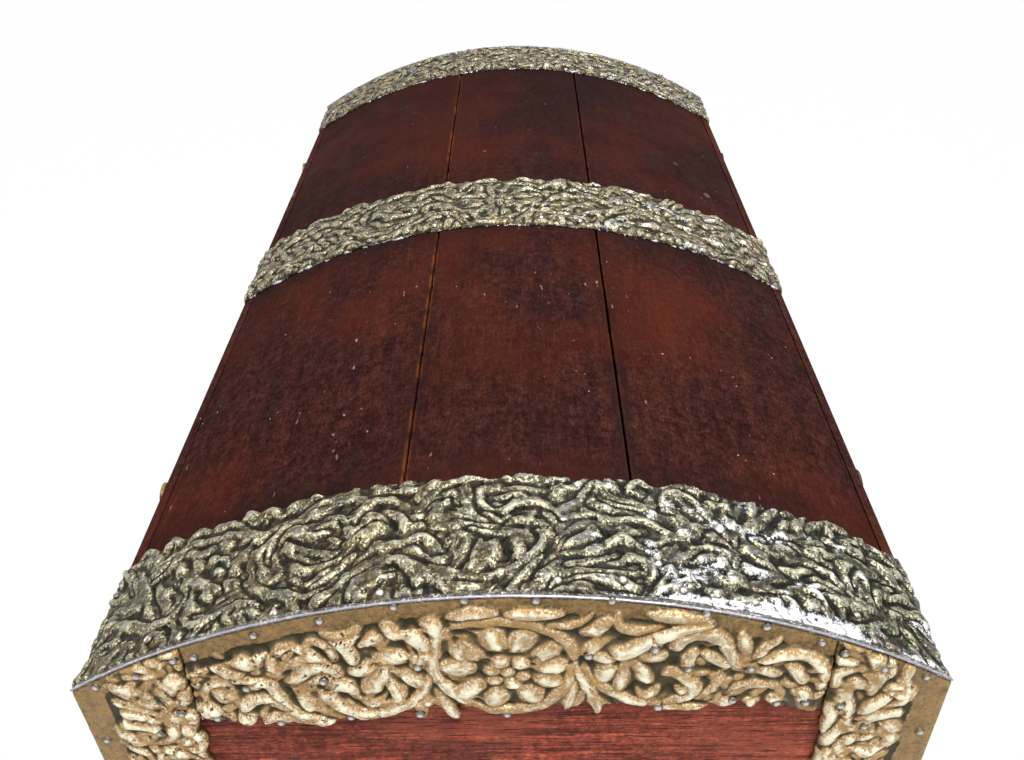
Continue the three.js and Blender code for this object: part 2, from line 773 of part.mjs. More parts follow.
function bailPath() {
  const shoulder = (eyeSpacing - eyeThickness) / 2 - runningGap;
  const leg = shoulder - bailShoulderRadius;
  const tip = (eyeSpacing + eyeThickness) / 2 + bailEndLength;
  const corner = leg - bailCornerRadius;
  const point = (y, z) => new THREE.Vector3(0, y, z);
  const path = new THREE.CurvePath();
  const line = (a, b) => path.add(new THREE.LineCurve3(a, b));
  const bend = (a, b, c) => path.add(new THREE.QuadraticBezierCurve3(a, b, c));
  line(point(-tip, 0), point(-shoulder, 0));
  bend(point(-shoulder, 0), point(-leg, 0), point(-leg, -bailShoulderRadius));
  line(point(-leg, -bailShoulderRadius), point(-leg, bailCornerRadius - bailDrop));
  bend(point(-leg, bailCornerRadius - bailDrop), point(-leg, -bailDrop), point(-corner, -bailDrop));
  line(point(-corner, -bailDrop), point(corner, -bailDrop));
  bend(point(corner, -bailDrop), point(leg, -bailDrop), point(leg, bailCornerRadius - bailDrop));
  line(point(leg, bailCornerRadius - bailDrop), point(leg, -bailShoulderRadius));
  bend(point(leg, -bailShoulderRadius), point(leg, 0), point(shoulder, 0));
  line(point(shoulder, 0), point(tip, 0));
  return path;
}

function bail() {
  const section = Array.from({ length: bailSides }, (_, i) => {
    const angle = (2 * Math.PI * i) / bailSides;
    return [bailRadius * Math.cos(angle), bailRadius * Math.sin(angle)];
  });
  return new THREE.ExtrudeGeometry(outline(section), {
    steps: bailSteps,
    bevelEnabled: false,
    extrudePath: bailPath(),
  });
}

function addHandles() {
  for (const { name, side } of ends) {
    const face = addGroup(body, [side * halfLength, 0, handlePivotHeight], side > 0 ? 0 : Math.PI);
    const plate = sweptAlongX(handlePlateShape(), handlePlateThickness);
    add(face, `handle_plate_${name}`, plate, brass, [seatGap, 0, 0]);
    for (const hand of faces) {
      const y = (side * hand.side * eyeSpacing) / 2;
      add(face, `handle_eye_${hand.name}_${name}`, handleEye(), brass, [handlePivotOut, y, 0]);
    }
    add(face, `handle_bail_${name}`, bail(), brass, [handlePivotOut, 0, 0]);
  }
}

addBodyBoards();
addRunners();
addBodyMounts();
addRails();
addPlanks();
addLidEndsAndRib();
addLidBands();
addArchMounts();
addHinges();
addHasps();
addStaples();
addHandles();

export default trunk;
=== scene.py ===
import math

import bpy
import numpy as np
from mathutils import Matrix, Vector


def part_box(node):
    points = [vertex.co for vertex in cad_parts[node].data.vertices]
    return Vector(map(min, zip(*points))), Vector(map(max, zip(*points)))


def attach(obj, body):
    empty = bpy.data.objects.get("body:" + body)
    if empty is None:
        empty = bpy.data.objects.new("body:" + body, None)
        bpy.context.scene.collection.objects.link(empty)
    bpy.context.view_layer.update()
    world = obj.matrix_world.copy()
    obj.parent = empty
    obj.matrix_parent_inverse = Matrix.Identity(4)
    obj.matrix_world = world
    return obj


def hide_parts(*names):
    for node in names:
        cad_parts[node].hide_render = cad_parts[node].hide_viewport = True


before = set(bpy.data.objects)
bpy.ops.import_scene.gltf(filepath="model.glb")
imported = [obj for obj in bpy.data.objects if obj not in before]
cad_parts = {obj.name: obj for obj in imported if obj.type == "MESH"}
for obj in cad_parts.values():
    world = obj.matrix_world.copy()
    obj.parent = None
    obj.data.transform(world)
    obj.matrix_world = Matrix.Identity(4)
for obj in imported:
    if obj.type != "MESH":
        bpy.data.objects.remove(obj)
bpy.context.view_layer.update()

MM = 0.001
COARSE = 1.0
SIDES = {1: "right", -1: "left"}
FACES = {1: "back", -1: "front"}

# Wood surfaces that the mounts lie on, in millimetres
DOME_RADIUS = 435.0
DOME_CENTRE = 76.815
HALF_LENGTH = 440.0
HALF_DEPTH = 236.5
SPRING = DOME_CENTRE + math.sqrt(DOME_RADIUS**2 - HALF_DEPTH**2)
LID_LOW = 347.7
BODY_LOW, BODY_HIGH = 16.3, 345.5
PLANK = 16.0

# The mounts: arc lengths are measured over them, and levels on the ends from the arch's own spring line
OVER_RADIUS = 438.5
OVER_DEPTH = 240.0
SPRING_OVER = 443.8
MOUNT_RADIUS = 436.4
RIM_RADIUS = 424.0
CORNER_SEAM = 173.0
ARCH_REACH = 172.7
BORDER = 2.7
FOLD = 4.0
DOME_REACH = math.asin(HALF_DEPTH / DOME_RADIUS) * OVER_RADIUS
LEG_REACH = DOME_REACH + FOLD + SPRING - LID_LOW

# How each metal is embossed: the ground's height, how far a stroke spreads, how fat and how steep it is, and
# how much the height itself counts as a ridge
SILVERED_CAST = {"ground": 1.0, "spread": 1.5, "fat": 0.85, "steep": 0.85, "deep": 0.0}
GILDED_CAST = {"ground": 1.8, "spread": 1.6, "fat": 1.05, "steep": 1.15, "deep": 0.55}

# The crease between two strokes, the height left along a sheet's rim, and where its skirt ends
CREASE = 0.25
RIM_SHARE = 0.62
SKIRT_FOOT = 0.05

# How high the drawn strokes stand over the ground, in millimetres
BAND_TOP, ARCH_TOP, ROSETTE_TOP, CORNER_TOP = 4.0, 4.8, 4.4, 4.7


def value_noise(u, v, scale, seed):
    """Smooth random numbers over a plane, in about -1 to 1"""
    lattice = np.random.default_rng(seed).uniform(-1, 1, (64, 64))
    a, b = np.asarray(u) / scale + 1000, np.asarray(v) / scale + 1000
    i, j = np.floor(a).astype(int), np.floor(b).astype(int)
    s, t = a - i, b - j
    s, t = s * s * (3 - 2 * s), t * t * (3 - 2 * t)
    i0, i1, j0, j1 = i % 64, (i + 1) % 64, j % 64, (j + 1) % 64
    low = lattice[i0, j0] * (1 - s) + lattice[i1, j0] * s
    high = lattice[i0, j1] * (1 - s) + lattice[i1, j1] * s
    return low * (1 - t) + high * t


def blurred(field, reach):
    """The mean of a field over a square of 2 x reach + 1 points, twice over"""
    for axis in (0, 1, 0, 1):
        padded = np.pad(field, [(reach + 1, reach) if a == axis else (0, 0) for a in (0, 1)], mode="edge")
        total = np.cumsum(padded, axis=axis)
        ahead = np.take(total, range(2 * reach + 1, total.shape[axis]), axis=axis)
        behind = np.take(total, range(0, total.shape[axis] - 2 * reach - 1), axis=axis)
        field = (ahead - behind) / (2 * reach + 1)
    return field


def away(point, distance, angle):
    """The point at a distance and an angle from another"""
    return point[0] + distance * math.cos(angle), point[1] + distance * math.sin(angle)


def smooth_line(points):
    """A Catmull-Rom line through points"""
    p, steps = np.asarray(points, float), 6
    if len(p) < 3:
        return p[0] + (p[-1] - p[0]) * np.linspace(0, 1, steps + 1)[:, None]
    p = np.vstack([2 * p[0] - p[1], p, 2 * p[-1] - p[-2]])
    t = np.linspace(0, 1, steps, endpoint=False)[:, None]
    parts = []
    for a, b, c, d in zip(p[:-3], p[1:-2], p[2:-1], p[3:]):
        curve = 2 * b + (c - a) * t + (2 * a - 5 * b + 4 * c - d) * t**2 + (3 * b - a - 3 * c + d) * t**3
        parts.append(0.5 * curve)
    return np.vstack([*parts, p[-2:-1]])


class Relief:
    """Embossed heights over a flat or bent strip, in millimetres on a grid"""

    def __init__(self, u_range, v_range, pitch, warp, seed, ground, spread, fat, steep, deep):
        self.u, self.v = (np.linspace(a, b, round((b - a) / pitch) + 1) for a, b in (u_range, v_range))
        self.pitch, self.warp, self.ground = pitch, warp, ground
        self.spread, self.fat, self.steep, self.deep = spread, fat, steep, deep
        self.U, self.V = np.meshgrid(self.u, self.v, indexing="ij")
        shape = self.U.shape
        self.height = np.full(shape, float(ground))
        self.cover, self.flat = np.zeros(shape, bool), np.zeros(shape, bool)
        self.first, self.second = np.full(shape, 9.0), np.full(shape, 9.0)
        self.rise, self.nearest = np.zeros(shape), np.full(shape, 1e6)
        self.flow_u, self.flow_v = np.ones(shape), np.zeros(shape)
        self.rng = np.random.default_rng(seed)
        self.wu = self.U + warp * self.noise(23, seed) + 0.5 * self.noise(6, seed + 7)
        self.wv = self.V + warp * self.noise(23, seed + 1) + 0.5 * self.noise(6, seed + 8)

    def noise(self, scale, seed):
        return value_noise(self.U, self.V, scale, seed)

    def ridge(self, points, w0, w1, top):
        """A leaf or stem along a line, w0 to w1 half wide; each point of the strip goes to the nearest one"""
        line = smooth_line(points)
        grown = self.fat * self.rng.uniform(0.9, 1.1)
        w0, w1 = w0 * grown, w1 * grown
        reach = max(14, self.spread * max(w0, w1)) + self.warp + 2 * self.pitch
        (ulo, vlo), (uhi, vhi) = line.min(0) - reach, line.max(0) + reach
        a, b = np.searchsorted(self.u, (ulo, uhi))
        c, d = np.searchsorted(self.v, (vlo, vhi))
        if a >= b or c >= d:
            return
        window = (slice(a, b), slice(c, d))
        u, v = self.wu[window], self.wv[window]
        along = np.concatenate([[0], np.cumsum(np.hypot(*np.diff(line, axis=0).T))])
        share = along / max(along[-1], 1e-6)
        tips = [0.62 if here > other + 0.25 else 0.18 for here, other in ((w0, w1), (w1, w0))]
        body = np.sin(np.pi * share) ** (0.6 if along[-1] < 50 else 0.25)
        widths = (w0 + (w1 - w0) * share) * (body + (1 - body) * (tips[0] + (tips[1] - tips[0]) * share))
        near, aside = np.full(u.shape, 9.0), np.zeros(u.shape)
        thick, double = np.full(u.shape, w0), np.zeros(u.shape)
        for (pu, pv), (qu, qv), ra, rb in zip(line[:-1], line[1:], widths[:-1], widths[1:]):
            du, dv = qu - pu, qv - pv
            length = max(math.hypot(du, dv), 1e-6)
            t = np.clip(((u - pu) * du + (v - pv) * dv) / length**2, 0, 1)
            r = ra + (rb - ra) * t
            off_u, off_v = u - pu - t * du, v - pv - t * dv
            q = np.hypot(off_u, off_v) / r
            closer = q < near
            found = (q, (du * off_v - dv * off_u) / (length * r), r, 2 * math.atan2(dv, du))
            for field, value in zip((near, aside, thick, double), found):
                np.copyto(field, value, where=closer)
        turn = np.sign(np.cross(line[len(line) // 2] - line[0], line[-1] - line[0]))
        rise = top * self.rng.uniform(0.85, 1.1) * np.minimum(1.15, (thick / 4.2) ** 0.7)
        rise *= 1 + 0.2 * turn * np.clip(aside, -1, 1)
        first, second, nearest = self.first[window], self.second[window], self.nearest[window]
        closer = near < first
        second[:] = np.where(closer, first, np.minimum(second, near))
        np.copyto(first, near, where=closer)
        np.copyto(self.rise[window], rise, where=closer)
        self.cover[window] |= near < 1.0
        closer = near * thick < nearest
        np.copyto(nearest, near * thick, where=closer)
        np.copyto(self.flow_u[window], np.cos(double), where=closer)
        np.copyto(self.flow_v[window], np.sin(double), where=closer)

    def bead(self, u, v, radius, top):
        width = 1.5 * radius / self.fat
        self.ridge([(u - 0.1, v), (u + 0.1, v)], width, width, top)

    def lobes(self, height, scale, seed, steps=5):
        """Lobes drawn out along the strokes beside them, with a thin crease between one and the next"""
        step, reach = 1.5, max(1, round(3.5 / self.pitch))
        angle = 0.5 * np.arctan2(blurred(self.flow_v, reach), blurred(self.flow_u, reach))
        du, dv = np.cos(angle), np.sin(angle)
        field = self.noise(scale, seed)
        for start in (1, -1):
            u, v, pu, pv = self.U, self.V, start * du, start * dv
            for _ in range(steps):
                u, v = u + step * pu, v + step * pv
                i = np.clip(np.rint((u - self.u[0]) / self.pitch).astype(int), 0, len(self.u) - 1)
                j = np.clip(np.rint((v - self.v[0]) / self.pitch).astype(int), 0, len(self.v) - 1)
                way = np.where(du[i, j] * pu + dv[i, j] * pv < 0, -1, 1)
                pu, pv = way * du[i, j], way * dv[i, j]
                field = field + value_noise(u, v, scale, seed)
        field = field / np.std(field)
        broken = 1 + 0.6 * self.noise(8, seed + 3)
        return height * broken * np.clip(np.abs(field), 0, 1.6) ** 0.6

    def press(self, lobes):
        """Turns the strokes into heights, with a narrow crease wherever two of them meet"""
        q = np.clip(self.first / self.spread, 0, 1)
        dome = (1 - q * q) ** self.steep
        crease = np.clip((self.second - self.first) / CREASE, 0, 1) ** 0.6
        drawn = self.rise * dome * (0.78 + 0.22 * crease)
        self.height = self.ground + np.maximum(drawn, lobes) + 0.3 * np.minimum(drawn, lobes)

    def border(self, where, level):
        """Flat metal at a level; ridges that are higher stay"""
        self.flat |= where & (self.height < level + 0.4)
        self.height[where] = np.maximum(self.height[where], level)
        self.cover |= where

    def waver(self, seed):
        """How an edge cut by hand strays along the strip"""
        return 1.6 * value_noise(self.U, 0 * self.U, 9, seed)

    def cell(self, u, v):
        i, j = np.searchsorted(self.u, u), np.searchsorted(self.v, v)
        return min(i, len(self.u) - 1), min(j, len(self.v) - 1)

    def roughen(self, amount, seed):
        """Softens every form and beats it by hand"""
        self.height = 0.6 * self.height + 0.4 * blurred(self.height, max(1, round(0.8 / self.pitch)))
        noise = self.noise(5.5, seed) + 0.7 * self.noise(2.4, seed + 1)
        noise += 1.1 * self.noise(31, seed + 2)
        self.height += amount * noise * np.clip(self.height / 3, 0.25, 1)

    def mesh(self, name, place, keep, **extra):
        """Places the kept part of the grid and closes its edges down to the wood"""
        near = self.height - blurred(self.height, max(1, round(1.6 / self.pitch)))
        wide = self.height - blurred(self.height, max(2, round(4.5 / self.pitch)))
        level = (self.height - np.mean(self.height[keep])) / np.std(self.height[keep])
        ridge = 0.65 * (near / np.std(near[keep])) + 0.5 * wide / np.std(wide[keep])
        ridge = (1 - self.deep) * ridge + 1.25 * self.deep * level
        ridge = np.where(self.flat, 0.3 * ridge - 0.2, ridge)
        slope = np.hypot(*np.gradient(self.height, self.pitch))
        slope /= np.std(slope[keep])
        n_v = len(self.v)
        i, j = np.nonzero(keep[:-1, :-1] & keep[1:, :-1] & keep[:-1, 1:] & keep[1:, 1:])
        corner = i * n_v + j
        quads = np.stack([corner, corner + n_v, corner + n_v + 1, corner + 1], 1)
        used, quads = np.unique(quads, return_inverse=True)
        quads = quads.reshape(-1, 4)
        count = len(used)
        uv = np.stack([self.U.ravel()[used], self.V.ravel()[used]])
        h = self.height.ravel()[used]
        edges = np.stack([quads, np.roll(quads, -1, axis=1)], 2).reshape(-1, 2).astype(np.int64)
        rim = edges[~np.isin(edges @ (count, 1), edges @ (1, count))]
        on_line = np.bincount(rim.ravel(), minlength=count) == 2
        for _ in range(4):
            total = np.zeros_like(uv)
            for a, b in ((0, 1), (1, 0)):
                np.add.at(total, (slice(None), rim[:, a]), uv[:, rim[:, b]])
            uv[:, on_line] = 0.5 * uv[:, on_line] + 0.5 * total[:, on_line] / 2
        rim_points = np.unique(rim)
        h[rim_points] *= RIM_SHARE
        lower = np.full(count, -1)
        lower[rim_points] = count + np.arange(len(rim_points))
        skirt = np.stack([rim[:, 1], rim[:, 0], lower[rim[:, 0]], lower[rim[:, 1]]], 1)
        u, v = np.concatenate([uv, uv[:, rim_points]], 1)
        h = np.append(h, np.full(len(rim_points), SKIRT_FOOT))
        co = place(u, v, h) * MM
        outward = (place(u[:1], v[:1], h[:1] + 1) - place(u[:1], v[:1], h[:1]))[0]
        first = co[quads[0]]
        faces = np.vstack([quads, skirt])
        if np.cross(first[1] - first[0], first[2] - first[0]) @ outward < 0:
            faces = faces[:, ::-1]
        piece = new_mesh(name, co, faces)
        pad = np.zeros(len(rim_points))
        set_values(piece, "ridge", np.append(ridge.ravel()[used], pad - 2))
        set_values(piece, "slope", np.append(slope.ravel()[used], pad))
        for key, values in extra.items():
            picked = values.ravel()[used]
            set_values(piece, key, np.append(picked, picked[rim_points]))
        return piece


def shade_smooth(mesh, smooth=True):
    mesh.polygons.foreach_set("use_smooth", np.full(len(mesh.polygons), smooth))


def new_mesh(name, co, faces, smooth=True):
    mesh = bpy.data.meshes.new(name)
    co, faces = np.asarray(co, np.float32), np.asarray(faces)
    mesh.vertices.add(len(co))
    mesh.vertices.foreach_set("co", co.ravel())
    mesh.loops.add(faces.size)
    mesh.loops.foreach_set("vertex_index", faces.ravel().astype(np.int32))
    mesh.polygons.add(len(faces))
    mesh.polygons.foreach_set("loop_start", np.arange(0, faces.size, faces.shape[1], dtype=np.int32))
    mesh.update(calc_edges=True)
    mesh.validate()
    shade_smooth(mesh, smooth)
    piece = bpy.data.objects.new(name, mesh)
    bpy.context.scene.collection.objects.link(piece)
    return piece


def set_values(piece, name, values):
    attribute = piece.data.attributes.new(name, "FLOAT", "POINT")
    attribute.data.foreach_set("value", np.asarray(values, np.float32))


def dress(piece, body, material, slot, *nodes):
    piece.data.materials.append(material)
    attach(piece, body)
    if nodes:
        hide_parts(*nodes)


class Nodes:
    """A node tree, with a short way to add each kind of node"""

    def __init__(self, tree):
        self.tree = tree

    def feed(self, socket, value):
        if isinstance(value, bpy.types.NodeSocket):
            self.tree.links.new(value, socket)
        elif value is not None:
            socket.default_value = (*value, 1) if socket.type == "RGBA" else value

    def add(self, kind, inputs, output=0, **settings):
        """Adds a node, feeds its inputs and gives one of its outputs"""
        node = self.tree.nodes.new(kind)
        for key, value in settings.items():
            setattr(node, key, value)
        for key, value in inputs.items():
            self.feed(node.inputs[key], value)
        return node.outputs[output]

    def math(self, kind, a, b=None, c=None):
        return self.add("ShaderNodeMath", {0: a, 1: b, 2: c}, operation=kind)

    def times(self, a, b):
        return self.math("MULTIPLY", a, b)

    def range(self, value, low, high, to_low=0.0, to_high=1.0):
        inputs = {0: value, 1: low, 2: high, 3: to_low, 4: to_high}
        return self.add("ShaderNodeMapRange", inputs, "Result", interpolation_type="SMOOTHSTEP")

    def seen(self):
        """1 on rays from the camera, a mirror or glass"""
        seen = 0.0
        for way in ("Camera", "Glossy", "Transmission"):
            seen = self.math("MAXIMUM", seen, self.add("ShaderNodeLightPath", {}, f"Is {way} Ray"))
        return seen


class Material(Nodes):
    def __init__(self, name):
        self.material = bpy.data.materials.new(name)
        self.material.use_nodes = True
        super().__init__(self.material.node_tree)
        self.shader = self.tree.nodes["Principled BSDF"]
        self.coords = self.add("ShaderNodeTexCoord", {}, "Object")

    def stretched(self, x, y, z):
        return self.add("ShaderNodeMapping", {"Vector": self.coords, "Scale": (x, y, z)})

    def noise(self, scale, detail=2.0, roughness=0.5, coords=None):
        inputs = {"Vector": coords or self.coords, "Scale": scale, "Detail": detail, "Roughness": roughness}
        return self.add("ShaderNodeTexNoise", inputs, "Fac")

    def cells(self, scale, coords=None):
        return self.add("ShaderNodeTexVoronoi", {"Vector": coords or self.coords, "Scale": scale}, "Distance")

    def value(self, name):
        return self.add("ShaderNodeAttribute", {}, "Fac", attribute_name=name)

    def mix(self, share, a, b, kind="MIX"):
        return self.add("ShaderNodeMix", {0: share, 6: a, 7: b}, 2, data_type="RGBA", blend_type=kind)

    def layers(self, colour, *layers):
        """Lays tones over a colour, each by its share"""
        for share, tone in layers:
            colour = self.mix(share, colour, tone)
        return colour

    def tints(self, colour, *factors):
        for factor in factors:
            colour = self.mix(1.0, colour, factor, "MULTIPLY")
        return colour

    def bumps(self, *layers):
        """A normal from heights, each with its depth in metres and its strength"""
        normal = None
        for height, depth, strength in layers:
            inputs = {"Height": height, "Distance": depth, "Strength": strength, "Normal": normal}
            normal = self.add("ShaderNodeBump", inputs, "Normal")
        return normal

    def finish(self, **inputs):
        for key, value in inputs.items():
            self.feed(self.shader.inputs[key.replace("_", " ")], value)
        return self.material


def srgb(r, g, b):
    """A colour as it looks on screen, 0 to 255, as linear light"""
    return tuple(((x / 255 + 0.055) / 1.055) ** 2.4 if x > 10 else x / 3295 for x in (r, g, b))


def shade(colour, share):
    return tuple(share * x for x in colour)


def polished_wood(name, dark, mid, light, along, contrast, gloss, shine=0.0, edge=None):
    """Figure, pores and fibres along the grain, with dust, scuffs, smudges and pale dots"""
    m = Material(name)

    def streaks(coarse, fine):
        return m.noise(coarse, 3, 0.65, m.stretched(*((1, fine, fine) if along == "x" else (fine, 1, fine))))

    figure, pores, dust, lines = streaks(9, 9), streaks(55, 22), streaks(90, 12), streaks(14, 24)
    fibres = m.noise(650, 4, 0.75, m.stretched(*((0.5, 1, 1) if along == "x" else (1, 0.5, 1))))
    patches, speckle = m.noise(6, 3, 0.55), m.noise(520, 3, 0.7)
    scuffs = m.range(m.noise(230, 2, 0.6, m.stretched(0.35, 1, 1)), 0.7, 0.76)
    smudges = m.range(m.cells(26, m.stretched(0.7, 1, 1)), 0.12, 0.06, 0, 0.5)
    dots = m.range(m.cells(120), 0.1, 0.06)
    colour = m.tints(
        m.mix(m.range(figure, 0.32, 0.68), dark, mid),
        m.range(fibres, 0.3, 0.7, 0.5, 1.55),
        m.range(lines, 0.3, 0.7, 1 - 0.4 * contrast, 1 + 0.45 * contrast),
        m.range(m.noise(150, 4, 0.75), 0.3, 0.7, 0.54, 1.5),
        m.range(m.noise(38, 4, 0.6), 0.32, 0.68, 0.85, 1.16),
    )
    colour = m.layers(
        colour,
        (m.times(m.range(patches, 0.4, 0.66), 0.6), light),
        (m.range(m.noise(2.6), 0.45, 0.7, 0, 0.35), shade(dark, 0.6)),
        (m.range(pores, 0.5, 0.66, 0, contrast), shade(dark, 0.3)),
        (m.range(dust, 0.62, 0.74, 0, 0.3 * contrast), srgb(150, 118, 112)),
        (m.range(speckle, 0.52, 0.7, 0, 0.5), shade(dark, 0.45)),
        (m.times(scuffs, m.range(m.noise(17), 0.52, 0.64, 0, 0.55)), srgb(170, 130, 120)),
        (m.times(smudges, m.range(m.noise(9), 0.56, 0.62)), srgb(132, 112, 110)),
        (m.times(dots, m.range(m.noise(21), 0.6, 0.66, 0, 0.6)), srgb(190, 160, 140)),
    )
    if edge:
        colour = m.layers(
            colour,
            (m.times(m.value("edge"), m.range(m.noise(60), 0.4, 0.6, 0.1, 0.8)), edge),
            # Darker where the darkening value is high: beside the bands, along the plank joints and towards
            # the left end
            (m.times(m.value("darkening"), m.range(patches, 0.3, 0.6, 0.95, 0.6)), srgb(29, 18, 18)),
        )
    return m.finish(
        Base_Color=colour,
        Roughness=m.range(m.noise(30, 4, 0.6), 0.3, 0.7, gloss - 0.08, gloss + 0.14),
        Normal=m.bumps((pores, 0.00022, 0.9), (figure, 0.0012, 0.4), (speckle, 0.00015, 0.5)),
        Specular_IOR_Level=shine,
    )


def embossed_metal(name, colours, gloss, grains, lit, crests, tarnish, dents, age=None):
    """Dark in the hollows, partly patina and partly painted shade; a pale tone on the crests, partly wear and
    partly painted highlight; bright grains along the slopes, partly worn metal and partly painted glints
    """
    m = Material(name)
    recess, body, high, fleck_and_glint, smooth = colours
    ridge, slope, warm, frost = (m.value(key) for key in ("ridge", "slope", "warm", "frost"))
    grain, mottle, clouds = m.noise(950, 4, 0.75), m.noise(300, 4, 0.7), m.noise(32, 3, 0.6)
    lift = ridge
    for noise in (mottle, grain):
        lift = m.math("MULTIPLY_ADD", m.math("SUBTRACT", noise, 0.5), grains, lift)
    # Black in the deepest creases, partly patina and partly painted shade
    black = shade(recess, 0.18)
    warm_tone = m.mix(m.range(lift, -1.2, 0.1), srgb(34, 27, 14), srgb(88, 76, 44))
    # The recess tone in the hollows is partly patina and partly painted shade; the high tone on the crests is
    # partly wear and partly painted highlight
    colour = m.layers(
        recess,
        (m.range(lift, *lit), body),
        (m.times(warm, m.range(m.noise(90, 3, 0.7), 0.35, 0.6)), warm_tone),
        (m.times(m.range(lift, *crests), m.range(warm, 0.4, 1, 1, 0.5)), high),
    )
    colour = m.tints(colour, m.range(m.noise(75, 4, 0.7), 0.36, 0.64, *tarnish))
    quiet = m.times(m.range(clouds, 0.5, 0.6), m.range(slope, 0.6, 1.6, 1, 0))
    # Pale flecks on steep rims: partly worn grains, partly painted glints
    fleck_and_glint_rims = m.times(m.range(slope, 0.5, 1.8), m.range(ridge, -0.8, 0.2))
    crease_patina_and_shade = 0.5 if age else m.range(warm, 0.3, 0.9, 0.7, 0.35)
    colour = m.layers(
        colour,
        (m.times(quiet, m.range(ridge, -0.2, 0.8, 0, 0.7)), smooth),
        (m.times(m.times(fleck_and_glint_rims, m.range(m.noise(640, 4, 0.8), 0.5, 0.58)), 0.85), fleck_and_glint),
        (m.times(m.range(lift, -1.2, -2.2), crease_patina_and_shade), black),
    )
    if age:
        aged = m.value("aged")
        worn = m.times(aged, m.range(ridge, 0.1, 1.2))
        worn = m.times(worn, m.range(m.noise(190, 3, 0.7), 0.52, 0.62, 0, 0.6))
        holes = m.times(aged, m.range(m.noise(230, 4, 0.8), 0.575, 0.6))
        colour = m.layers(colour, (worn, age), (m.times(holes, m.range(ridge, -0.2, 0.6)), black))
    cover = m.math("MULTIPLY_ADD", frost, -0.2, 0.64)
    grit = m.math("MULTIPLY_ADD", m.noise(1300, 4, 0.85), 0.55, m.times(mottle, 0.45))
    frosted = m.range(m.math("SUBTRACT", m.math("MULTIPLY_ADD", ridge, 0.015, grit), cover), 0.0, 0.03)
    frosted = m.times(frosted, m.range(frost, 0.02, 0.3, 0, 0.88))
    return m.finish(
        Base_Color=m.mix(frosted, colour, srgb(226, 227, 232)),
        Metallic=0.5,
        Roughness=m.range(mottle, 0.3, 0.7, gloss - 0.1, gloss + 0.15),
        Normal=m.bumps((grain, 0.0005, 0.7), (mottle, 0.0011, 0.6), (m.noise(130, 3, 0.6), dents, 0.6)),
        Specular_IOR_Level=0.2,
    )


def worked_metal(name, base, dark, bright, metallic, gloss):
    m = Material(name)
    grain, mottle = m.noise(700, 3, 0.65), m.noise(150, 3, 0.6)
    rubbed = m.times(m.range(grain, 0.56, 0.68, 0, 0.7), m.range(m.noise(45, 3, 0.6), 0.42, 0.62))
    colour = m.layers(dark, (m.range(mottle, 0.35, 0.62), base), (rubbed, bright))
    normal = m.bumps((m.noise(260, 3, 0.6), 0.0005, 0.5))
    roughness = m.range(mottle, 0.3, 0.7, gloss - 0.08, gloss + 0.16)
    return m.finish(Base_Color=colour, Metallic=metallic, Roughness=roughness, Normal=normal)


def domed_metal(name, foot, side, top):
    """Nail heads: dark round the foot, partly grime and partly painted shade; pale on the crown, partly wear
    and partly painted highlight
    """
    m = Material(name)
    crown = m.math("MULTIPLY_ADD", m.math("SUBTRACT", m.noise(500, 3, 0.6), 0.5), 0.7, m.value("crown"))
    # The dark foot is partly grime and partly painted shade, the pale top partly wear and partly painted
    # highlight
    colour = m.layers(foot, (m.range(crown, 0.15, 0.55), side), (m.range(crown, 0.72, 1.0), top))
    normal = m.bumps((m.noise(420), 0.0003, 0.4))
    roughness = m.range(crown, 0.2, 1, 0.45, 0.28)
    return m.finish(Base_Color=colour, Metallic=0.7, Roughness=roughness, Normal=normal)


def edge_metal(name, lip, body, bright):
    """A smooth grey lip on a strip as dark as the sheets beside it"""
    m = Material(name)
    grain, mottle = m.noise(800, 3, 0.65), m.noise(170, 3, 0.6)
    colour = m.layers(
        shade(body, 0.5),
        (m.range(mottle, 0.35, 0.62), body),
        (m.range(m.value("lip"), 0.3, 0.8), lip),
        (m.times(m.range(grain, 0.5, 0.62), m.range(mottle, 0.4, 0.6, 0.2, 0.9)), bright),
    )
    normal = m.bumps((m.noise(260, 3, 0.6), 0.0004, 0.5))
    roughness = m.range(mottle, 0.3, 0.7, 0.34, 0.5)
    return m.finish(Base_Color=colour, Metallic=0.5, Roughness=roughness, Normal=normal)


def tones(*colours):
    return [srgb(*colour) for colour in colours]


DULL, GOLDEN = tones((140, 76, 38), (214, 148, 72))
dome_wood = polished_wood(
    "dome_wood", *tones((40, 21, 19), (49, 25, 20), (74, 30, 18)), "x", 0.3, 0.42, 0.002, DULL,
)
board_wood = polished_wood(
    "board_wood", *tones((43, 23, 20), (54, 28, 24), (78, 34, 22)), "x", 0.35, 0.45, 0.002,
)
end_wood = polished_wood(
    "end_wood", *tones((116, 50, 36), (156, 74, 54), (186, 96, 70)), "y", 1.15, 0.45, 0.08,
)
bare_wood = polished_wood(
    "bare_wood", *tones((112, 72, 50), (138, 94, 66), (154, 108, 78)), "x", 0.5, 0.7,
)
# In both metals the first tone is partly patina and partly painted shade, the third partly wear and partly
# painted highlight, and the fourth partly worn grains and partly painted glints
silvered = embossed_metal(
    "silvered_brass", tones((22, 20, 14), (58, 54, 43), (138, 135, 120), (200, 193, 160), (98, 95, 98)),
    gloss=0.32, grains=5.5, lit=(-1.0, 0.5), crests=(0.9, 2.0), tarnish=(0.6, 1.35), dents=0.003,
)
gilded = embossed_metal(
    "gilded_brass", tones((86, 77, 56), (184, 146, 92), (255, 248, 218), (255, 246, 222), (172, 143, 96)),
    gloss=0.3, grains=1.1, lit=(-1.2, 0.1), crests=(0.6, 1.6), tarnish=(0.88, 1.1), dents=0.0012, age=GOLDEN,
)
folded = edge_metal("folded_edge", *tones((144, 142, 150), (84, 78, 64), (214, 213, 218)))
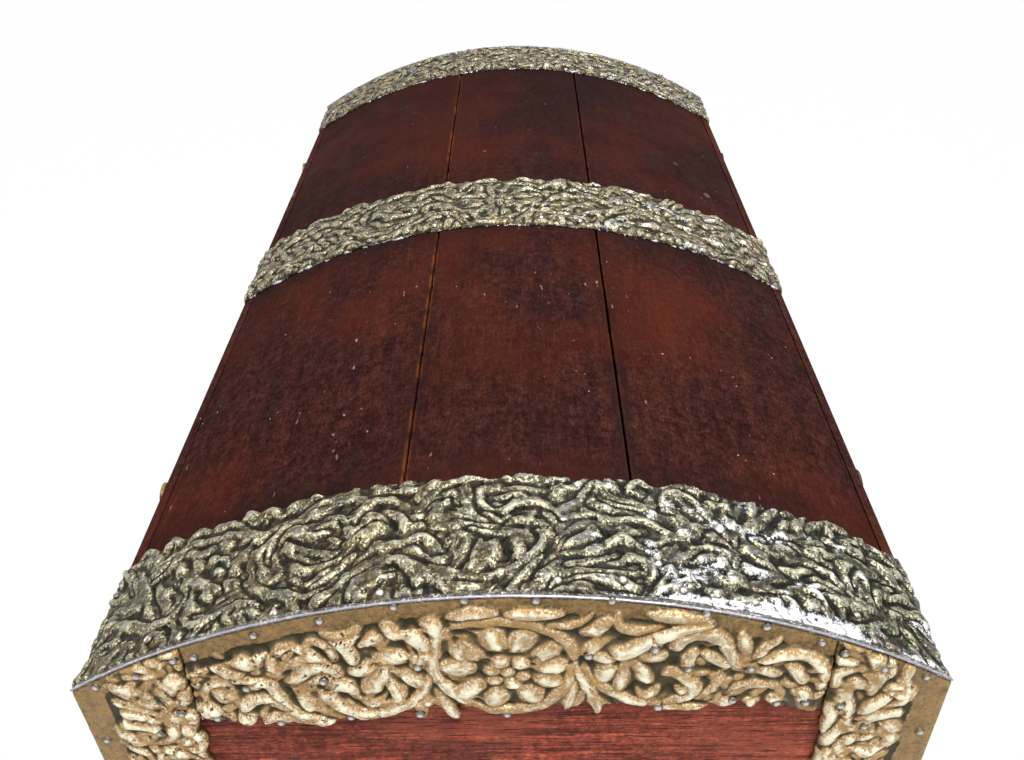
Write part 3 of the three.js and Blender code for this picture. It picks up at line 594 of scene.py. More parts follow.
# Nail tones: a dark foot that is partly painted shade, and a pale top that is partly painted highlight
nail_metal = domed_metal("nail_metal", *tones((45, 38, 31), (118, 110, 100), (216, 211, 204)))
iron = worked_metal("iron", *tones((54, 46, 41), (34, 29, 26), (104, 92, 82)), 0.6, 0.55)
brass = worked_metal("brass", *tones((132, 112, 68), (80, 68, 46), (196, 176, 124)), 0.7, 0.4)


def on_section(length, h):
    """Y and Z over the lid's cross section, at a length from its crown and a height over the wood"""
    side, far = np.sign(length), np.abs(length)
    angle = np.minimum(far, DOME_REACH) / OVER_RADIUS
    fold = np.clip((far - DOME_REACH) / FOLD, 0, 1)
    turned = angle + fold * (math.pi / 2 - DOME_REACH / OVER_RADIUS)
    drop = np.clip(far - DOME_REACH - FOLD, 0, None)
    y = DOME_RADIUS * np.sin(angle) + h * np.sin(turned)
    z = DOME_CENTRE + DOME_RADIUS * np.cos(angle) + h * np.cos(turned) - drop
    return side * y, z


def over_dome(u, v, h):
    y, z = on_section(u, h)
    return np.stack([v, y, z], 1)


def on_end(side):
    """Y and Z on an end; the left end repeats the right one turned round"""
    return lambda u, v, h: np.stack([side * (HALF_LENGTH + h), side * u, v], 1)


def on_wall(side):
    return lambda u, v, h: np.stack([v, side * (HALF_DEPTH + h), u], 1)


def strokes(text):
    """Leaves and stems, parted by semicolons: half widths at both ends, then points along the line"""
    table = []
    for row in text.split(";"):
        w0, w1, *points = row.split()
        table.append((float(w0), float(w1), [tuple(float(x) for x in point.split(",")) for point in points]))
    return table


# The ornament of the end arch, in millimetres along Y and up from the spring line
ARCH_RIDGES = strokes("""
4.2 4.4 -2,58 10,58 22,57.5 31,58; 3.8 4 -30,50 -15,53.5 0,54 12,52 22,47 30,40 35,31 36.5,22;
3.8 4.2 36.5,22 38,14 42,4 46,-8 48.5,-19; 4.2 4.2 -20,-15 -8,-20 4,-20.5 16,-17 25,-10 31,0 34,10 34,20;
4 3 36,4 35,-6 33,-15 30.5,-22; 3.4 3 41,-2 39,-10 35,-18; 3.4 3 20,50 30,49 38,50.5 43,55 46,60.5;
4 5 39,42.5 46,46 53,52; 3.6 3.6 58,60 56.5,53 60,47 68,44 76,46 84,48; 4.2 4.8 71,57 80,55 92,52.5 102,51;
4.6 5.6 106,50 94,48 83,43.5 73,37 65,31 58,28.5; 4.4 5 76,41 77.5,33; 4 4.5 70,29 74,24 80,23.5 82.5,26;
4.2 4.4 67,21 70,14 74,6 77,1; 4.2 4.6 62,21 62,10 60.5,0 59.5,-3.5; 4.6 5.2 57,19 52,14 49.5,7;
3.6 4.8 46,39 44,33 43,27; 4.2 3.8 44,27 50,24 57,21; 3.2 4.2 39,19 43,9 50,1 57,-6 66,-12 76,-16;
4.2 3 76,-16 88,-18.5 100,-20 112,-18.5; 3 4.4 43,3 46,-7 48.5,-15 49,-21;
3.6 3.4 69.5,-3 72,-7.5 77,-8 80,-3 79.5,1; 4.6 4.4 82,9 90,9.5 97,5 101,-2 98,-9 91,-13 83,-17;
3.6 3.6 93,-1 95.5,-7; 3.2 3.8 100,-14 106,-9 111,-3 114,4 114,10; 3.6 4.6 98,31 96,23 95,15.5;
3 3.2 100,24 103,16; 4.8 3.8 88.5,31 90,38 97,42.5 106,42 113,36 117,27 120,18 124,12;
4.8 3.4 104,27 110,23.5 116,18.5 123,13; 3.6 3.2 121,41 123.5,33 126.5,25;
4 3 141.5,36 135,31 131,24 129.5,18; 4 3.4 134,20 143,24 153,25 162,21 168,13 170,4 168,-6;
3.6 4.6 147,17 153,13 157,7 158.5,2; 3 4.2 132,12.5 138,12 144,8.5;
3.4 4.4 117,-9 122,-2 130,1 138,0.5 145,-2 149,-9; 3.6 3.8 129,-14.5 136,-14.5; 4.2 4.4 144,-10 146,-15;
3.6 4.6 158,-3 160.5,-9 162,-13; 3.4 3 154,-4 158,-10; 3.4 4.2 114,-16 122,-14; 3 2.6 170,-8 166,-14;
4.2 4.2 -31,56 -24,59 -14,60.5 -2,59.5; 3.8 3.8 -30,50 -36,42 -39,32 -40,22 -38,10 -33,0 -26,-9 -18,-15;
3.6 4.2 -40,2 -37,-8 -33,-17 -28.5,-25; 4.6 5 -40,56 -38,50 -34,44; 5 5.8 -51,46 -46,40 -40,34;
5 4.6 -61,52 -57,46 -54,41; 4.2 4.2 -74,37 -68,41 -66,46; 3.6 4.6 -97,46 -88,42.5 -80,44 -76,49;
5.2 6 -69,27 -62,27 -56,26; 4.6 5.2 -47,30 -46,24 -48,19; 4.2 5.4 -58,17 -52,12 -47,4;
4.4 5 -65,18 -70,10 -75,3 -77,-1; 4.2 5 -63,9 -60,0 -58,-8; 5.2 5 -82,14 -77,17 -71,21;
4.6 4.6 -80,-8 -74,-12.5 -67,-9; 4.6 3.6 -100,-3 -96,-9 -89,-17 -79,-21 -67,-19.5 -56,-14 -48,-6 -43,3 -40,13;
4 4.2 -116,1 -113,-7 -107,-14 -99,-20.5 -88,-25.5; 4.2 4.4 -98.5,-1 -96,5 -90,8.5 -85,4 -84.5,-3;
3.6 4.6 -49,-6 -48,-14 -48,-23; 4.2 4.8 -121,6 -113,12 -107,18 -99,21 -93,17 -90,12; 4.8 4.6 -102,8 -95,13;
3.6 3.6 -122,16 -114,24 -104,26 -97,22; 3.6 3.4 -107,38 -99,39.5 -92,35 -90,28 -92,22;
3 2.8 -105,36 -101,29 -96,25; 3.4 4.2 -85,38 -82,31 -80.5,23; 3.2 3 -125,27 -119,35 -111,37 -106,31;
2.8 2.8 -119,25 -114,31; 4.8 5.6 -142,26 -136,21; 4.6 4 -154,18 -148,12.5 -140,13;
3 3 -125,31 -125.5,22 -124,13; 3 3 -112,34 -118,24 -124,14;
3 3.8 -166,-12 -166,-2 -160,6 -150,9 -138,9.5 -129,6 -125,-3 -121,-13 -115,-19; 4 4.6 -159,4 -158,-4 -156,-9;
4.6 3.6 -147,-15 -143,-9 -134,-6.5 -126,-10 -119,-17 -110,-22 -102,-26; 5 5 -145,-23 -146,-27;
4.8 3 -136,-26 -128,-22.5 -117,-24 -106,-28 -96,-29; 4 5 -169,-9 -164,-15 -161,-21; 3.8 3.4 -152,-13 -157,-17;
2.8 2.6 -168,9 -170,0
""")
FRONT_CORNER_RIDGES = strokes("""
4.2 4.4 -187,9 -181,10 -176,6; 3.6 4 -175,1 -178,-5 -180,-12; 3.8 3.8 -176,-17 -177,-23 -179,-30;
4 4.6 -182,-31 -182,-38; 3 3.2 -199,5 -201,-3 -198,-10 -194,-17; 3.2 3.2 -190,4 -190,-4 -187,-10;
3.4 3.6 -194,-10 -190,-20 -188,-30 -190,-40 -196,-47 -204,-50; 3.8 3 -217,-10 -208,-13 -200,-18 -196,-22;
4.4 3 -213,-20 -205,-22 -197,-26 -191,-30; 3.6 3.4 -221,-33 -214,-30 -206,-31 -200,-35 -197,-42;
4.2 3.6 -222,-35 -219,-41 -214,-47 -207,-50; 3 2.6 -211,-38 -206,-42;
3.8 3.4 -178,-40 -176,-47 -179,-56 -177,-64; 3.6 3.6 -186,-42 -184,-50; 3.6 3.6 -222,-50 -216,-55 -209,-60;
4 4 -200,-54 -193,-56 -187,-61; 2.8 2.8 -206,-7 -212,-3
""")
BACK_CORNER_RIDGES = strokes("""
3.6 3.2 176,-2 176,7 181,11.5 188,10; 3.2 4.2 189,8 195,5 197.5,-2 197.5,-11; 3.2 3 183,4 188,0 191,-6;
3.4 3.6 179,-5 184,-13 187,-23 188,-33 192,-41; 3.8 4 182,-12 181,-18;
3.8 3.2 206,-4 213,-3 218.5,-8 218,-15 211,-20 203,-22; 2.8 2.8 209,-9 213.5,-12.5;
4.4 3.4 208,-9 203,-15 197,-21 192,-28; 4 3.6 176,-20 179,-28 177.5,-36 176,-46;
3.6 4.6 185,-40 181,-47 179,-54; 3.4 3.6 196,-33 202,-28.5 211,-26.5 219,-29; 4 4 198,-36 198,-38;
3.8 4.2 207,-35 213,-38 218,-43; 4.8 4 214,-46 216,-52 213,-59; 3.8 3.6 205,-42 202,-48 195,-52;
3.6 3.6 190,-54 187,-61 189,-68; 5 5 204,-61 204,-65; 3.6 3.6 176,-62 180,-67 188,-73 196,-76
""")

# The ornament of the dome bands: along the arc from the crown, and across from the trunk's end
BAND_RIDGES = strokes("""
4.5 4.5 -40,26 -30,27; 3.2 4 -19,41 -23,33 -28,22; 3.4 4.4 -13,42 -14,32 -16,21; 3.4 4.4 -5,42 -4,32 -6,21;
3.6 4.8 4,42 8,34 8,26; 2.6 2.6 -46,36 -38,25 -28,17 -15,14 0,17 10,24 18,33 21,42;
2.2 2.2 -20,50 -10,47 0,46 8,47 17,42; 3.4 3.2 0,61 8,67 18,69 26,65 31,58; 3 3 2,56 15,54;
3 3 -5,80 6,80 16,78 23,77; 3 2.8 23,84 27,87 29,82; 3.6 3.4 -48,70 -42,80 -33,86 -22,89 -10,88;
3 3 -38,74 -31,79 -25,74 -22,66; 3.2 3 -10,82 -15,75 -13,67 -5,62; 3.4 3.2 -45,58 -33,58 -23,56;
3 2.8 -42,52 -30,50 -22,47; 2.8 2.8 4,8 11,16 17,25 22,33; 4 3.6 6,90 20,88; 4 3.6 26,74 32,79 37,82;
3.6 3.4 42,72 46,80 50,88; 3.6 3.4 56,88 62,82 65,76; 3.4 3.2 52,82 58,76 68,72 80,70;
3.4 3.2 70,84 76,90 85,88; 3.8 3.6 90,89 105,91 118,89; 3.4 3.2 88,72 90,80 95,86 103,85 110,78 115,72;
3.2 3.2 36,58 48,61 58,57 70,60 82,57 92,52; 3.6 3.2 36,50 45,54 53,50; 3.4 3.2 52,36 60,42 70,40;
3.2 3.2 62,28 68,32 75,29 78,22 74,14; 3.8 3.4 33,24 50,26; 3.4 3.2 50,19 60,18 68,19;
3.4 3.2 102,43 110,46 120,45 130,41; 3.2 3 100,32 106,37 115,39 122,36; 5.6 5.6 121,25 129,26;
5.6 5.6 176,61 184,61; 4.8 4.4 95,63 101,62; 4.4 4.2 103,57 108,59; 4.4 4.2 116,79 121,81;
4 3.2 148,89 143,78; 4 3.2 163,89 152,76; 4 3.2 168,81 162,73; 4 3.2 178,86 168,76;
3.6 3.2 150,56 160,58 167,56; 3.8 3.6 188,89 200,91 212,87; 4 3.8 195,83 200,85; 4 3.8 205,79 210,80;
3.6 3.4 192,76 197,78; 3.4 3.2 195,72 205,66 215,62 228,58; 3.4 3.2 195,51 200,59 206,63;
3.4 3.2 205,36 207,48; 3.4 3.2 217,35 219,45 228,46 237,48; 3.6 3.2 183,30 195,27 207,26;
3.4 3.2 168,5 180,6 190,10 197,14 205,18; 3.6 3.2 150,25 160,27 170,24 178,17; 4 3.8 162,18 167,20;
3.2 3 152,20 157,12 155,6; 3.4 3.2 206,7 213,6 219,5; 3.6 3.2 186,44 192,38 188,36;
3.4 3 128,55 128,66 127,77; 3.4 3.2 138,67 132,62 136,54; 3.8 3.4 86,32 92,40 96,46;
3.4 3.2 84,12 94,17 104,17; 3.6 3.4 152,42 160,40 168,43; 3.4 3.2 226,26 232,20 236,12;
3.2 3 214,20 221,22 225,30; 3.4 3.2 224,74 231,70 236,63; 3.6 3.4 225,88 233,84 238,78;
3.8 3.6 -239,88 -230,92 -222,84; 3.8 3.6 -218,84 -212,92 -204,86; 3.8 3.6 -200,84 -191,91 -183,87;
3.6 3.4 -180,85 -170,87 -161,83; 3.6 3.4 -160,84 -156,89 -151,84; 3.8 3.6 -148,82 -141,89 -133,84;
4.4 4.2 -128,84 -123,87; 4 3.6 -125,70 -115,78 -105,84 -90,82 -80,83; 4.2 4 -75,88 -69,86;
4.2 4 -60,88 -54,88; 3.6 3.4 -46,77 -42,84 -36,90;
3.4 3.2 -220,62 -210,70 -203,75 -193,79 -180,78 -165,76 -150,71;
3.2 3.2 -232,76 -226,64 -219,52 -212,40 -203,28;
3.2 3 -248,28 -237,34 -226,33 -215,28 -205,24 -195,22 -188,27 -184,35; 4 4 -233,24 -227,22;
3.2 3.2 -184,22 -178,15 -170,12 -160,15 -152,20; 4 3.6 -192,70 -187,72; 4 3.6 -180,69 -175,71;
3.8 3.6 -167,69 -162,67; 3.8 3.4 -175,62 -169,59; 3.8 3.6 -184,61 -181,55; 3.8 3.4 -157,47 -152,42;
4 3.6 -167,52 -163,47; 3.8 3.4 -171,34 -166,28; 3.6 3.4 -177,44 -172,40; 3.8 3.4 -189,48 -184,44;
3.8 3.4 -202,48 -198,42; 3.8 3.6 -197,61 -193,56; 3.8 3.4 -86,20 -75,28 -62,31 -52,28 -45,20 -38,14;
3.6 3.4 -100,8 -90,14; 4.2 3.8 -71,20 -65,22; 3.6 3.4 -86,70 -78,76 -68,78 -60,74;
3.6 3.4 -70,70 -62,64 -56,56; 3.8 3.4 -118,52 -108,45 -98,42 -90,42; 3.6 3.4 -80,42 -75,50 -68,54;
3.6 3.4 -90,60 -84,54 -80,60; 3.4 3.2 -142,29 -132,22 -120,17 -108,12;
3.4 3.2 -139,45 -135,35 -129,29 -123,34; 3.6 3.4 -148,62 -152,55 -146,50; 4 3.6 -134,62 -137,53;
3.6 3.4 -122,62 -114,60 -106,63; 3.4 3.2 -86,38 -88,30 -95,23 -104,18; 3.8 3.4 -118,36 -111,30 -103,32;
3.6 3.4 -64,42 -56,40 -50,44; 3.4 3.2 -30,10 -18,8 -6,9; 3.4 3.2 -236,9 -229,13 -221,18;
3.2 3 -244,50 -235,48 -226,42; 3.2 3 -248,66 -240,60 -236,52; 3.2 3 -248,82 -242,76 -238,68;
3.4 3.2 -208,12 -196,13 -188,9; 3.4 3.2 -148,12 -140,14 -131,9
""")

# Nail heads, placed like the strokes
ARCH_NAILS = [
    (-166, 26), (-131, 43), (-95, 54), (-56, 64), (-20, 68), (16, 67), (54, 66), (102, 56), (134, 45),
    (164, 32), (-162, -22), (-127, -26), (-88, -24), (-49, -20), (-1, -23), (82, -18), (122, -13), (146, -14),
    (161, -12), (-142, 1), (-98, 11), (-47, 21), (43, 28), (77, 34), (96, 15), (129, 14),
]
BAND_NAILS = [(-199, 11), (-122, 7), (-64, 8), (27, 11), (60, 11), (92, 11), (132, 12), (196, 22)]
CORNER_NAILS = [(225, 2), (200, 12), (177, 25), (232, -47), (182, -19), (198, -37), (232, -88)]

# Petals and beads of the end rosette, which points out from its hub
PETALS = [(-7, 39), (9, 38), (20, 30), (23, 18), (22, 7), (12, -5), (-6, -8), (-20, 1), (-26, 17), (-19, 31)]
HUB = (-1, 13)
BEADS = [(0, 13), (-8, 14), (-7, 6), (3, 4), (8, 9), (7, 20), (-3, 22)]


def ridges(relief, table, top, shift, flip=(1, 1)):
    for w0, w1, points in table:
        relief.ridge([(flip[0] * a + shift[0], flip[1] * b + shift[1]) for a, b in points], w0, w1, top)


def end_rosette(relief, top):
    for y, z in PETALS:
        far = math.hypot(y - HUB[0], z - HUB[1])
        out = ((y - HUB[0]) / far, (z - HUB[1]) / far)
        line = [(y + s * out[0], z + SPRING_OVER + s * out[1]) for s in (-7, 0, 5)]
        relief.ridge(line, 4.8, 7.8, top)
    for y, z in BEADS:
        relief.bead(y, z + SPRING_OVER, 3.1, top)


def crown_rosette(relief, u, v, ru, rv):
    """Twelve petals round a cluster of beads"""
    petals, turn, top = 12, 0.2, 3.6
    for k in range(petals):
        a = turn + 2 * math.pi * k / petals
        cu, cv = math.cos(a), math.sin(a)
        relief.ridge(
            [(u + s * ru * cu, v + s * rv * cv) for s in (0.36, 0.86)],
            0.7 * ru / petals + 1, 1.55 * ru / petals, top * 0.95,
        )
    for k in range(6):
        a = turn + 0.3 + math.pi * k / 3
        relief.bead(u + 0.245 * ru * math.cos(a), v + 0.245 * rv * math.sin(a), 0.105 * ru, top * 0.8)
    relief.bead(u, v, 0.11 * ru, top)


def fill_lobes(relief, seed, spacing, top, allowed):
    """Small curved leaves on the ground that the drawn ridges leave free"""
    rng = np.random.default_rng(seed)
    for u in np.arange(relief.u[0], relief.u[-1], spacing):
        for v in np.arange(relief.v[0], relief.v[-1], spacing):
            foot = (u + rng.uniform(0, spacing), v + rng.uniform(0, spacing))
            angle = 3 * value_noise(*foot, 55, seed + 5) + rng.uniform(-0.5, 0.5)
            bend, length, width = rng.uniform(-0.9, 0.9), rng.uniform(6, 11), rng.uniform(2.6, 3.8)
            spot = relief.cell(*foot)
            if allowed[spot] and not relief.cover[spot]:
                middle = away(foot, 0.5 * length, angle)
                tip = away(middle, 0.5 * length, angle + bend)
                relief.ridge([foot, middle, tip], width, width * 0.7, top)


def vine(relief, start, stop, low, high, seed):
    """A waving stem along a strip, with a leafy scroll in each bend"""
    rng = np.random.default_rng(seed)
    top, breadth = 3.2, high - low
    middle, swing = (low + high) / 2, breadth * 0.33
    count = max(1, round(abs(stop - start) / (0.85 * breadth)))
    step = (stop - start) / count
    stem = [(k / 8, math.sin(math.pi * (k / 8 - 0.5))) for k in range(count * 8 + 1)]
    relief.ridge([(start + step * k, middle + swing * wave) for k, wave in stem], 3.4, 3.4, top)
    for k in range(count):
        side = 1 if k % 2 else -1
        centre = (start + step * (k + 0.5), middle + side * swing * -0.15)
        first = rng.uniform(-0.3, 0.3) + (math.pi if side > 0 else 0)

        def scroll(t):
            """The angle at a share of the scroll's length, and its point there"""
            a = first + side * 4.6 * t
            return a, away(centre, 0.36 * breadth * (1 - 0.74 * t), a)

        relief.ridge([scroll(t)[1] for t in np.linspace(0, 1, 12)], 3.6, 2.6, top)
        relief.bead(*centre, 3.2, top)
        for t in np.linspace(0.02, 0.7, 7):
            a, base = scroll(t)
            lean = a + side * 0.9
            long = rng.uniform(9, 13) * (1 - 0.35 * t)
            bend = away(base, 0.5 * long, lean)
            relief.ridge([base, bend, away(bend, 0.5 * long, lean + side * 0.6)], 2.8, 3.9, top)


def flutes(relief, edge, seed, stop):
    """Short flutes side by side along an edge, where no leaf lies"""
    rng = np.random.default_rng(seed)
    for u in np.arange(relief.u[0], stop, 6.2):
        long = rng.uniform(7, 11)
        if not relief.cover[relief.cell(u, edge - long)]:
            relief.ridge([(u, edge - 2), (u + rng.uniform(-3, 3), edge - long)], 2.4, 2.8, 2.2)


def ring_faces(rings, sides, first=0):
    """Quads between closed rings of points that follow one another"""
    k = np.arange(sides)
    a, b = (first + sides * np.arange(rings - 1)[:, None] + step for step in (k, (k + 1) % sides))
    return np.stack([a, b, b + sides, a + sides], 2).reshape(-1, 4)


NAIL_PROFILE = [(3.3, -0.6), (3.35, 0.1), (3.2, 0.8), (2.7, 1.5), (1.9, 2.05), (1.0, 2.35)]
NAIL_TOP = 2.45
NAIL_SIDES = 14
NAIL_SCALE = 0.86


def nails(name, places, body):
    """Domed nail heads in one piece; each place is a point and an outward direction, in millimetres"""
    rng = np.random.default_rng(len(places))
    co, faces = [], []
    for point, outward in places:
        z = np.asarray(outward, float) + rng.normal(0, 0.05, 3)
        z /= np.linalg.norm(z)
        x = np.cross(z, (0.3, 0.9, 0.1))
        x /= np.linalg.norm(x)
        y = np.cross(z, x)
        size = NAIL_SCALE * rng.uniform(0.92, 1.06)
        faces.extend(ring_faces(len(NAIL_PROFILE), NAIL_SIDES, len(co)))
        for r, h in NAIL_PROFILE:
            for k in range(NAIL_SIDES):
                a = 2 * math.pi * k / NAIL_SIDES
                co.append(np.asarray(point) + size * (r * math.cos(a) * x + r * math.sin(a) * y + h * z))
        top, last = len(co), len(co) - NAIL_SIDES
        co.append(np.asarray(point) + size * NAIL_TOP * z)
        for k in range(0, NAIL_SIDES, 2):
            faces.append((last + k, last + k + 1, last + (k + 2) % NAIL_SIDES, top))
    piece = new_mesh(name, np.array(co) * MM, faces)
    crown = [h for _, h in NAIL_PROFILE for _ in range(NAIL_SIDES)] + [NAIL_TOP]
    set_values(piece, "crown", np.tile(crown, len(places)) / NAIL_TOP)
    dress(piece, body, nail_metal, "pewter")


# Bands over the dome: the fold at the trunk's end, the breadth the strokes were drawn for, and the rosette
EDGE = 3.5
BAND_BREADTH = 93
ROSETTE_PLACE = (-8, 45)
ROSETTE_RADIUS = 33


def frosting(relief, x_edge, seed):
    """White wear along the trunk's end, and in patches that grow towards the back"""
    U = relief.U
    limit = 3 + 15 * np.clip((U - 25) / 120, 0, 1) + 3 * relief.noise(14, seed + 1)
    frost = np.clip((limit - (x_edge - relief.V)) / 7, 0, 1)
    frost = frost * np.clip((U - 5) / 50, 0, 1) * np.clip((214 - U) / 22, 0, 1)
    patches = np.clip(relief.noise(10, seed) - 0.05, 0, 0.7)
    return np.maximum(frost, patches * np.clip((U + 110) / 200, 0.1, 1))


def band(kind, x_low, x_high, pitch, seed):
    """One band with its legs; v runs along X, and the pattern's own breadth starts at the edge towards +X"""
    near, far = kind == "right", kind == "left"
    v_range = (x_low - (0 if far else 3), x_high + (3 if kind == "middle" else 0))
    relief = Relief((-LEG_REACH, LEG_REACH), v_range, pitch, 0.6 if near else 1.6, seed, **SILVERED_CAST)
    rise = 1.0 if near else 0.9
    x_edge = x_high + (EDGE if near else 0)
    scale = (x_edge - x_low + (EDGE if far else 0)) / BAND_BREADTH
    sign = -1 if far else 1
    ridges(relief, BAND_RIDGES, BAND_TOP * rise, (0, x_edge), (sign, -scale))
    if not near:
        along, across = ROSETTE_PLACE
        crown_rosette(relief, sign * along, x_edge - scale * across, ROSETTE_RADIUS, ROSETTE_RADIUS * scale)
    for side in (-1, 1):
        start, stop = side * (DOME_REACH + FOLD + 6), side * (LEG_REACH - 3)
        vine(relief, start, stop, x_low + 8, x_high - 8, seed + side + 2)
    flutes(relief, x_edge, seed + 60, 0 if near else LEG_REACH)
    leg = np.abs(relief.U) > DOME_REACH
    relief.press(relief.lobes(2.3 * rise, 5.0, seed + 70, 6) * np.where(leg, 0.65, 1))
    relief.height += np.where(leg, 0.3, 0.9) * rise * relief.noise(13, seed + 80)
    if near:
        frost = frosting(relief, x_edge, seed + 50)
        flat = np.clip(frost * 1.4 - 0.4, 0, 1) * (x_edge - relief.V < 18)
        relief.height -= 0.6 * flat * (relief.height - 1.6)
        warm = np.clip(0.35 - relief.U / 220, 0, 0.7)
    else:
        relief.height -= (1 - np.clip((x_high - 3 - relief.V) / 5, 0.25, 1)) * (relief.height - 1.2)
        patches = np.clip(0.05 + 0.9 * relief.noise(10, seed + 50), 0, 0.5)
        frost = patches * np.clip((relief.U + 130) / 200, 0.25, 1)
        frost = np.maximum(frost, np.clip(1.2 - (x_high - relief.V) / 4, 0, 0.9))
        warm = np.full(relief.U.shape, 0.9)
    relief.roughen(0.34, seed + 30)
    sway = 2.4 + relief.waver(seed + 40)
    keep = relief.V > x_low + (0 if far else 1) * sway
    keep &= relief.V < x_high + 0.01 - (0 if near else 1) * sway
    piece = relief.mesh(f"band_{kind}", over_dome, keep | relief.cover, frost=frost, warm=warm)
    dress(piece, "lid", silvered, "silvered_brass", f"lid_band_{kind}")
    heads = []
    for s, across in BAND_NAILS:
        u, v = sign * s, x_edge - scale * across
        (y,), (z,) = on_section(np.array([float(u)]), np.array([relief.height[relief.cell(u, v)] - 0.6]))
        heads.append(((v, y, z), (0, math.sin(u / OVER_RADIUS), math.cos(u / OVER_RADIUS))))
    nails(f"band_{kind}_nails", heads, "lid")


def band_span(kind):
    low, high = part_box(f"lid_band_{kind}")
    return low.x / MM, high.x / MM


SPANS = {kind: band_span(kind) for kind in ("right", "middle", "left")}
for kind, pitch, seed in (("right", 0.85, 11), ("middle", 1.05, 23), ("left", 1.25, 37)):
    band(kind, *SPANS[kind], pitch * COARSE, seed)


# Mounts on the ends: how far the corner's pattern and its nails repeat down the body
CORNER_STEP = 84
NAIL_STEP = 50


def end_nails(name, relief, side, spots, body):
    heads = []
    for y, z in spots:
        x = HALF_LENGTH + relief.height[relief.cell(y, z)] - 0.5
        heads.append(((side * x, side * y, z), (side, 0, 0)))
    nails(name, heads, body)


def arch_mount(side, pitch, seed, warp):
    v_range = (SPRING_OVER - 32, SPRING_OVER + 74)
    relief = Relief((-ARCH_REACH, ARCH_REACH), v_range, pitch, warp, seed, **GILDED_CAST)
    ridges(relief, ARCH_RIDGES, ARCH_TOP, (0, SPRING_OVER))
    end_rosette(relief, ROSETTE_TOP)
    radial = np.hypot(relief.U, relief.V - DOME_CENTRE)
    ends = (np.abs(relief.U + 12) > 112) & (radial < 421) & (relief.V > SPRING_OVER - 14)
    fill_lobes(relief, seed + 8, 8.5, 3.8, ends)
    relief.press(relief.lobes(2.7, 5.5, seed + 20) * (radial < 418) * np.clip((40 - relief.U) / 70, 0.65, 1))
    relief.border(radial > RIM_RADIUS + 1.4 * relief.noise(14, seed + 3), BORDER)
    # The sheet's foot hangs lower at both ends and under one scroll
    foot = SPRING_OVER - 17 - 9 * np.clip((np.abs(relief.U) - 140) / 16, 0, 1)
    foot = foot - 9 * np.exp(-(((relief.U + 122) / 22) ** 2))
    solid = relief.V > foot + 3 * relief.noise(12, seed + 4)
    relief.roughen(0.22, seed + 9)
    keep = (relief.cover | solid) & (radial < MOUNT_RADIUS)
    name = SIDES[side]
    piece = relief.mesh(f"arch_{name}", on_end(side), keep, aged=np.clip((25 - relief.U) / 110, 0.08, 1))
    dress(piece, "lid", gilded, "gilded_brass", f"arch_mount_{name}")
    end_nails(f"arch_nails_{name}", relief, side, [(y, z + SPRING_OVER) for y, z in ARCH_NAILS], "lid")


def corner_mount(side, face, pitch, seed, part):
    """The strip at one corner of an end, on the lid or on the body"""
    on_lid = part == "lid"
    v_range = (LID_LOW, SPRING_OVER + 36) if on_lid else (BODY_LOW, BODY_HIGH)
    u_range = (CORNER_SEAM, OVER_DEPTH) if face > 0 else (-OVER_DEPTH, -CORNER_SEAM)
    table = BACK_CORNER_RIDGES if face > 0 else FRONT_CORNER_RIDGES
    relief = Relief(u_range, v_range, pitch, 0.4 if on_lid else 1.2, seed, **GILDED_CAST)
    copies = [(SPRING_OVER, 1), (SPRING_OVER - 139, -1)]
    spots = [(face * y, z + SPRING_OVER) for y, z in CORNER_NAILS]
    if not on_lid:
        copies = [(BODY_HIGH - 10 - CORNER_STEP * k - 74 * (k % 2), 1 - 2 * (k % 2)) for k in range(4)]
        spots = [(face * 232, BODY_HIGH - 14 - NAIL_STEP * k) for k in range(7)]
        spots += [(face * 181, BODY_HIGH - 30 - CORNER_STEP * k) for k in range(4)]
    for level, way in copies:
        ridges(relief, table, CORNER_TOP, (0, level), (1, way))
    far = np.abs(relief.U)
    radial = np.hypot(relief.U, relief.V - DOME_CENTRE)
    rim = far > 222 + 1.6 * relief.noise(16, seed + 3)
    loose = 1.0
    if on_lid:
        rim |= radial > RIM_RADIUS + 1.4 * relief.noise(14, seed + 5)
        loose = np.clip((SPRING_OVER - 27 - relief.V) / 8, 0, 1)
    solid = far > 173.4 + loose * (2.5 + 1.8 * relief.noise(9, seed + 4))
    fill_lobes(relief, seed + 8, 7.5, 4.0, (far < 219) & (far > 177))
    relief.press(relief.lobes(2.4, 5.5, seed + 20) * (far < 217))
    relief.border(rim, BORDER)
    relief.roughen(0.22, seed + 9)
    keep = relief.cover | solid
    if on_lid:
        keep &= radial < MOUNT_RADIUS
    corner = f"{FACES[face * side]}_{SIDES[side]}"
    aged = np.full(far.shape, 0.15 if face > 0 else 0.8)
    piece = relief.mesh(f"{part}_corner_{corner}", on_end(side), keep, aged=aged)
    dress(piece, part, gilded, "gilded_brass", f"{part}_corner_mount_{corner}")
    end_nails(f"{part}_corner_nails_{corner}", relief, side, spots, part)


for side, fine, warp in ((1, 0.78, 0.0), (-1, 1.15, 0.8)):
    arch_mount(side, fine * COARSE, 51 + side, warp)
    for face in (1, -1):
        corner_mount(side, face, fine * COARSE, 61 + 2 * side + face, "lid")
        corner_mount(side, face, 1.4 * COARSE, 71 + 2 * side + face, "body")


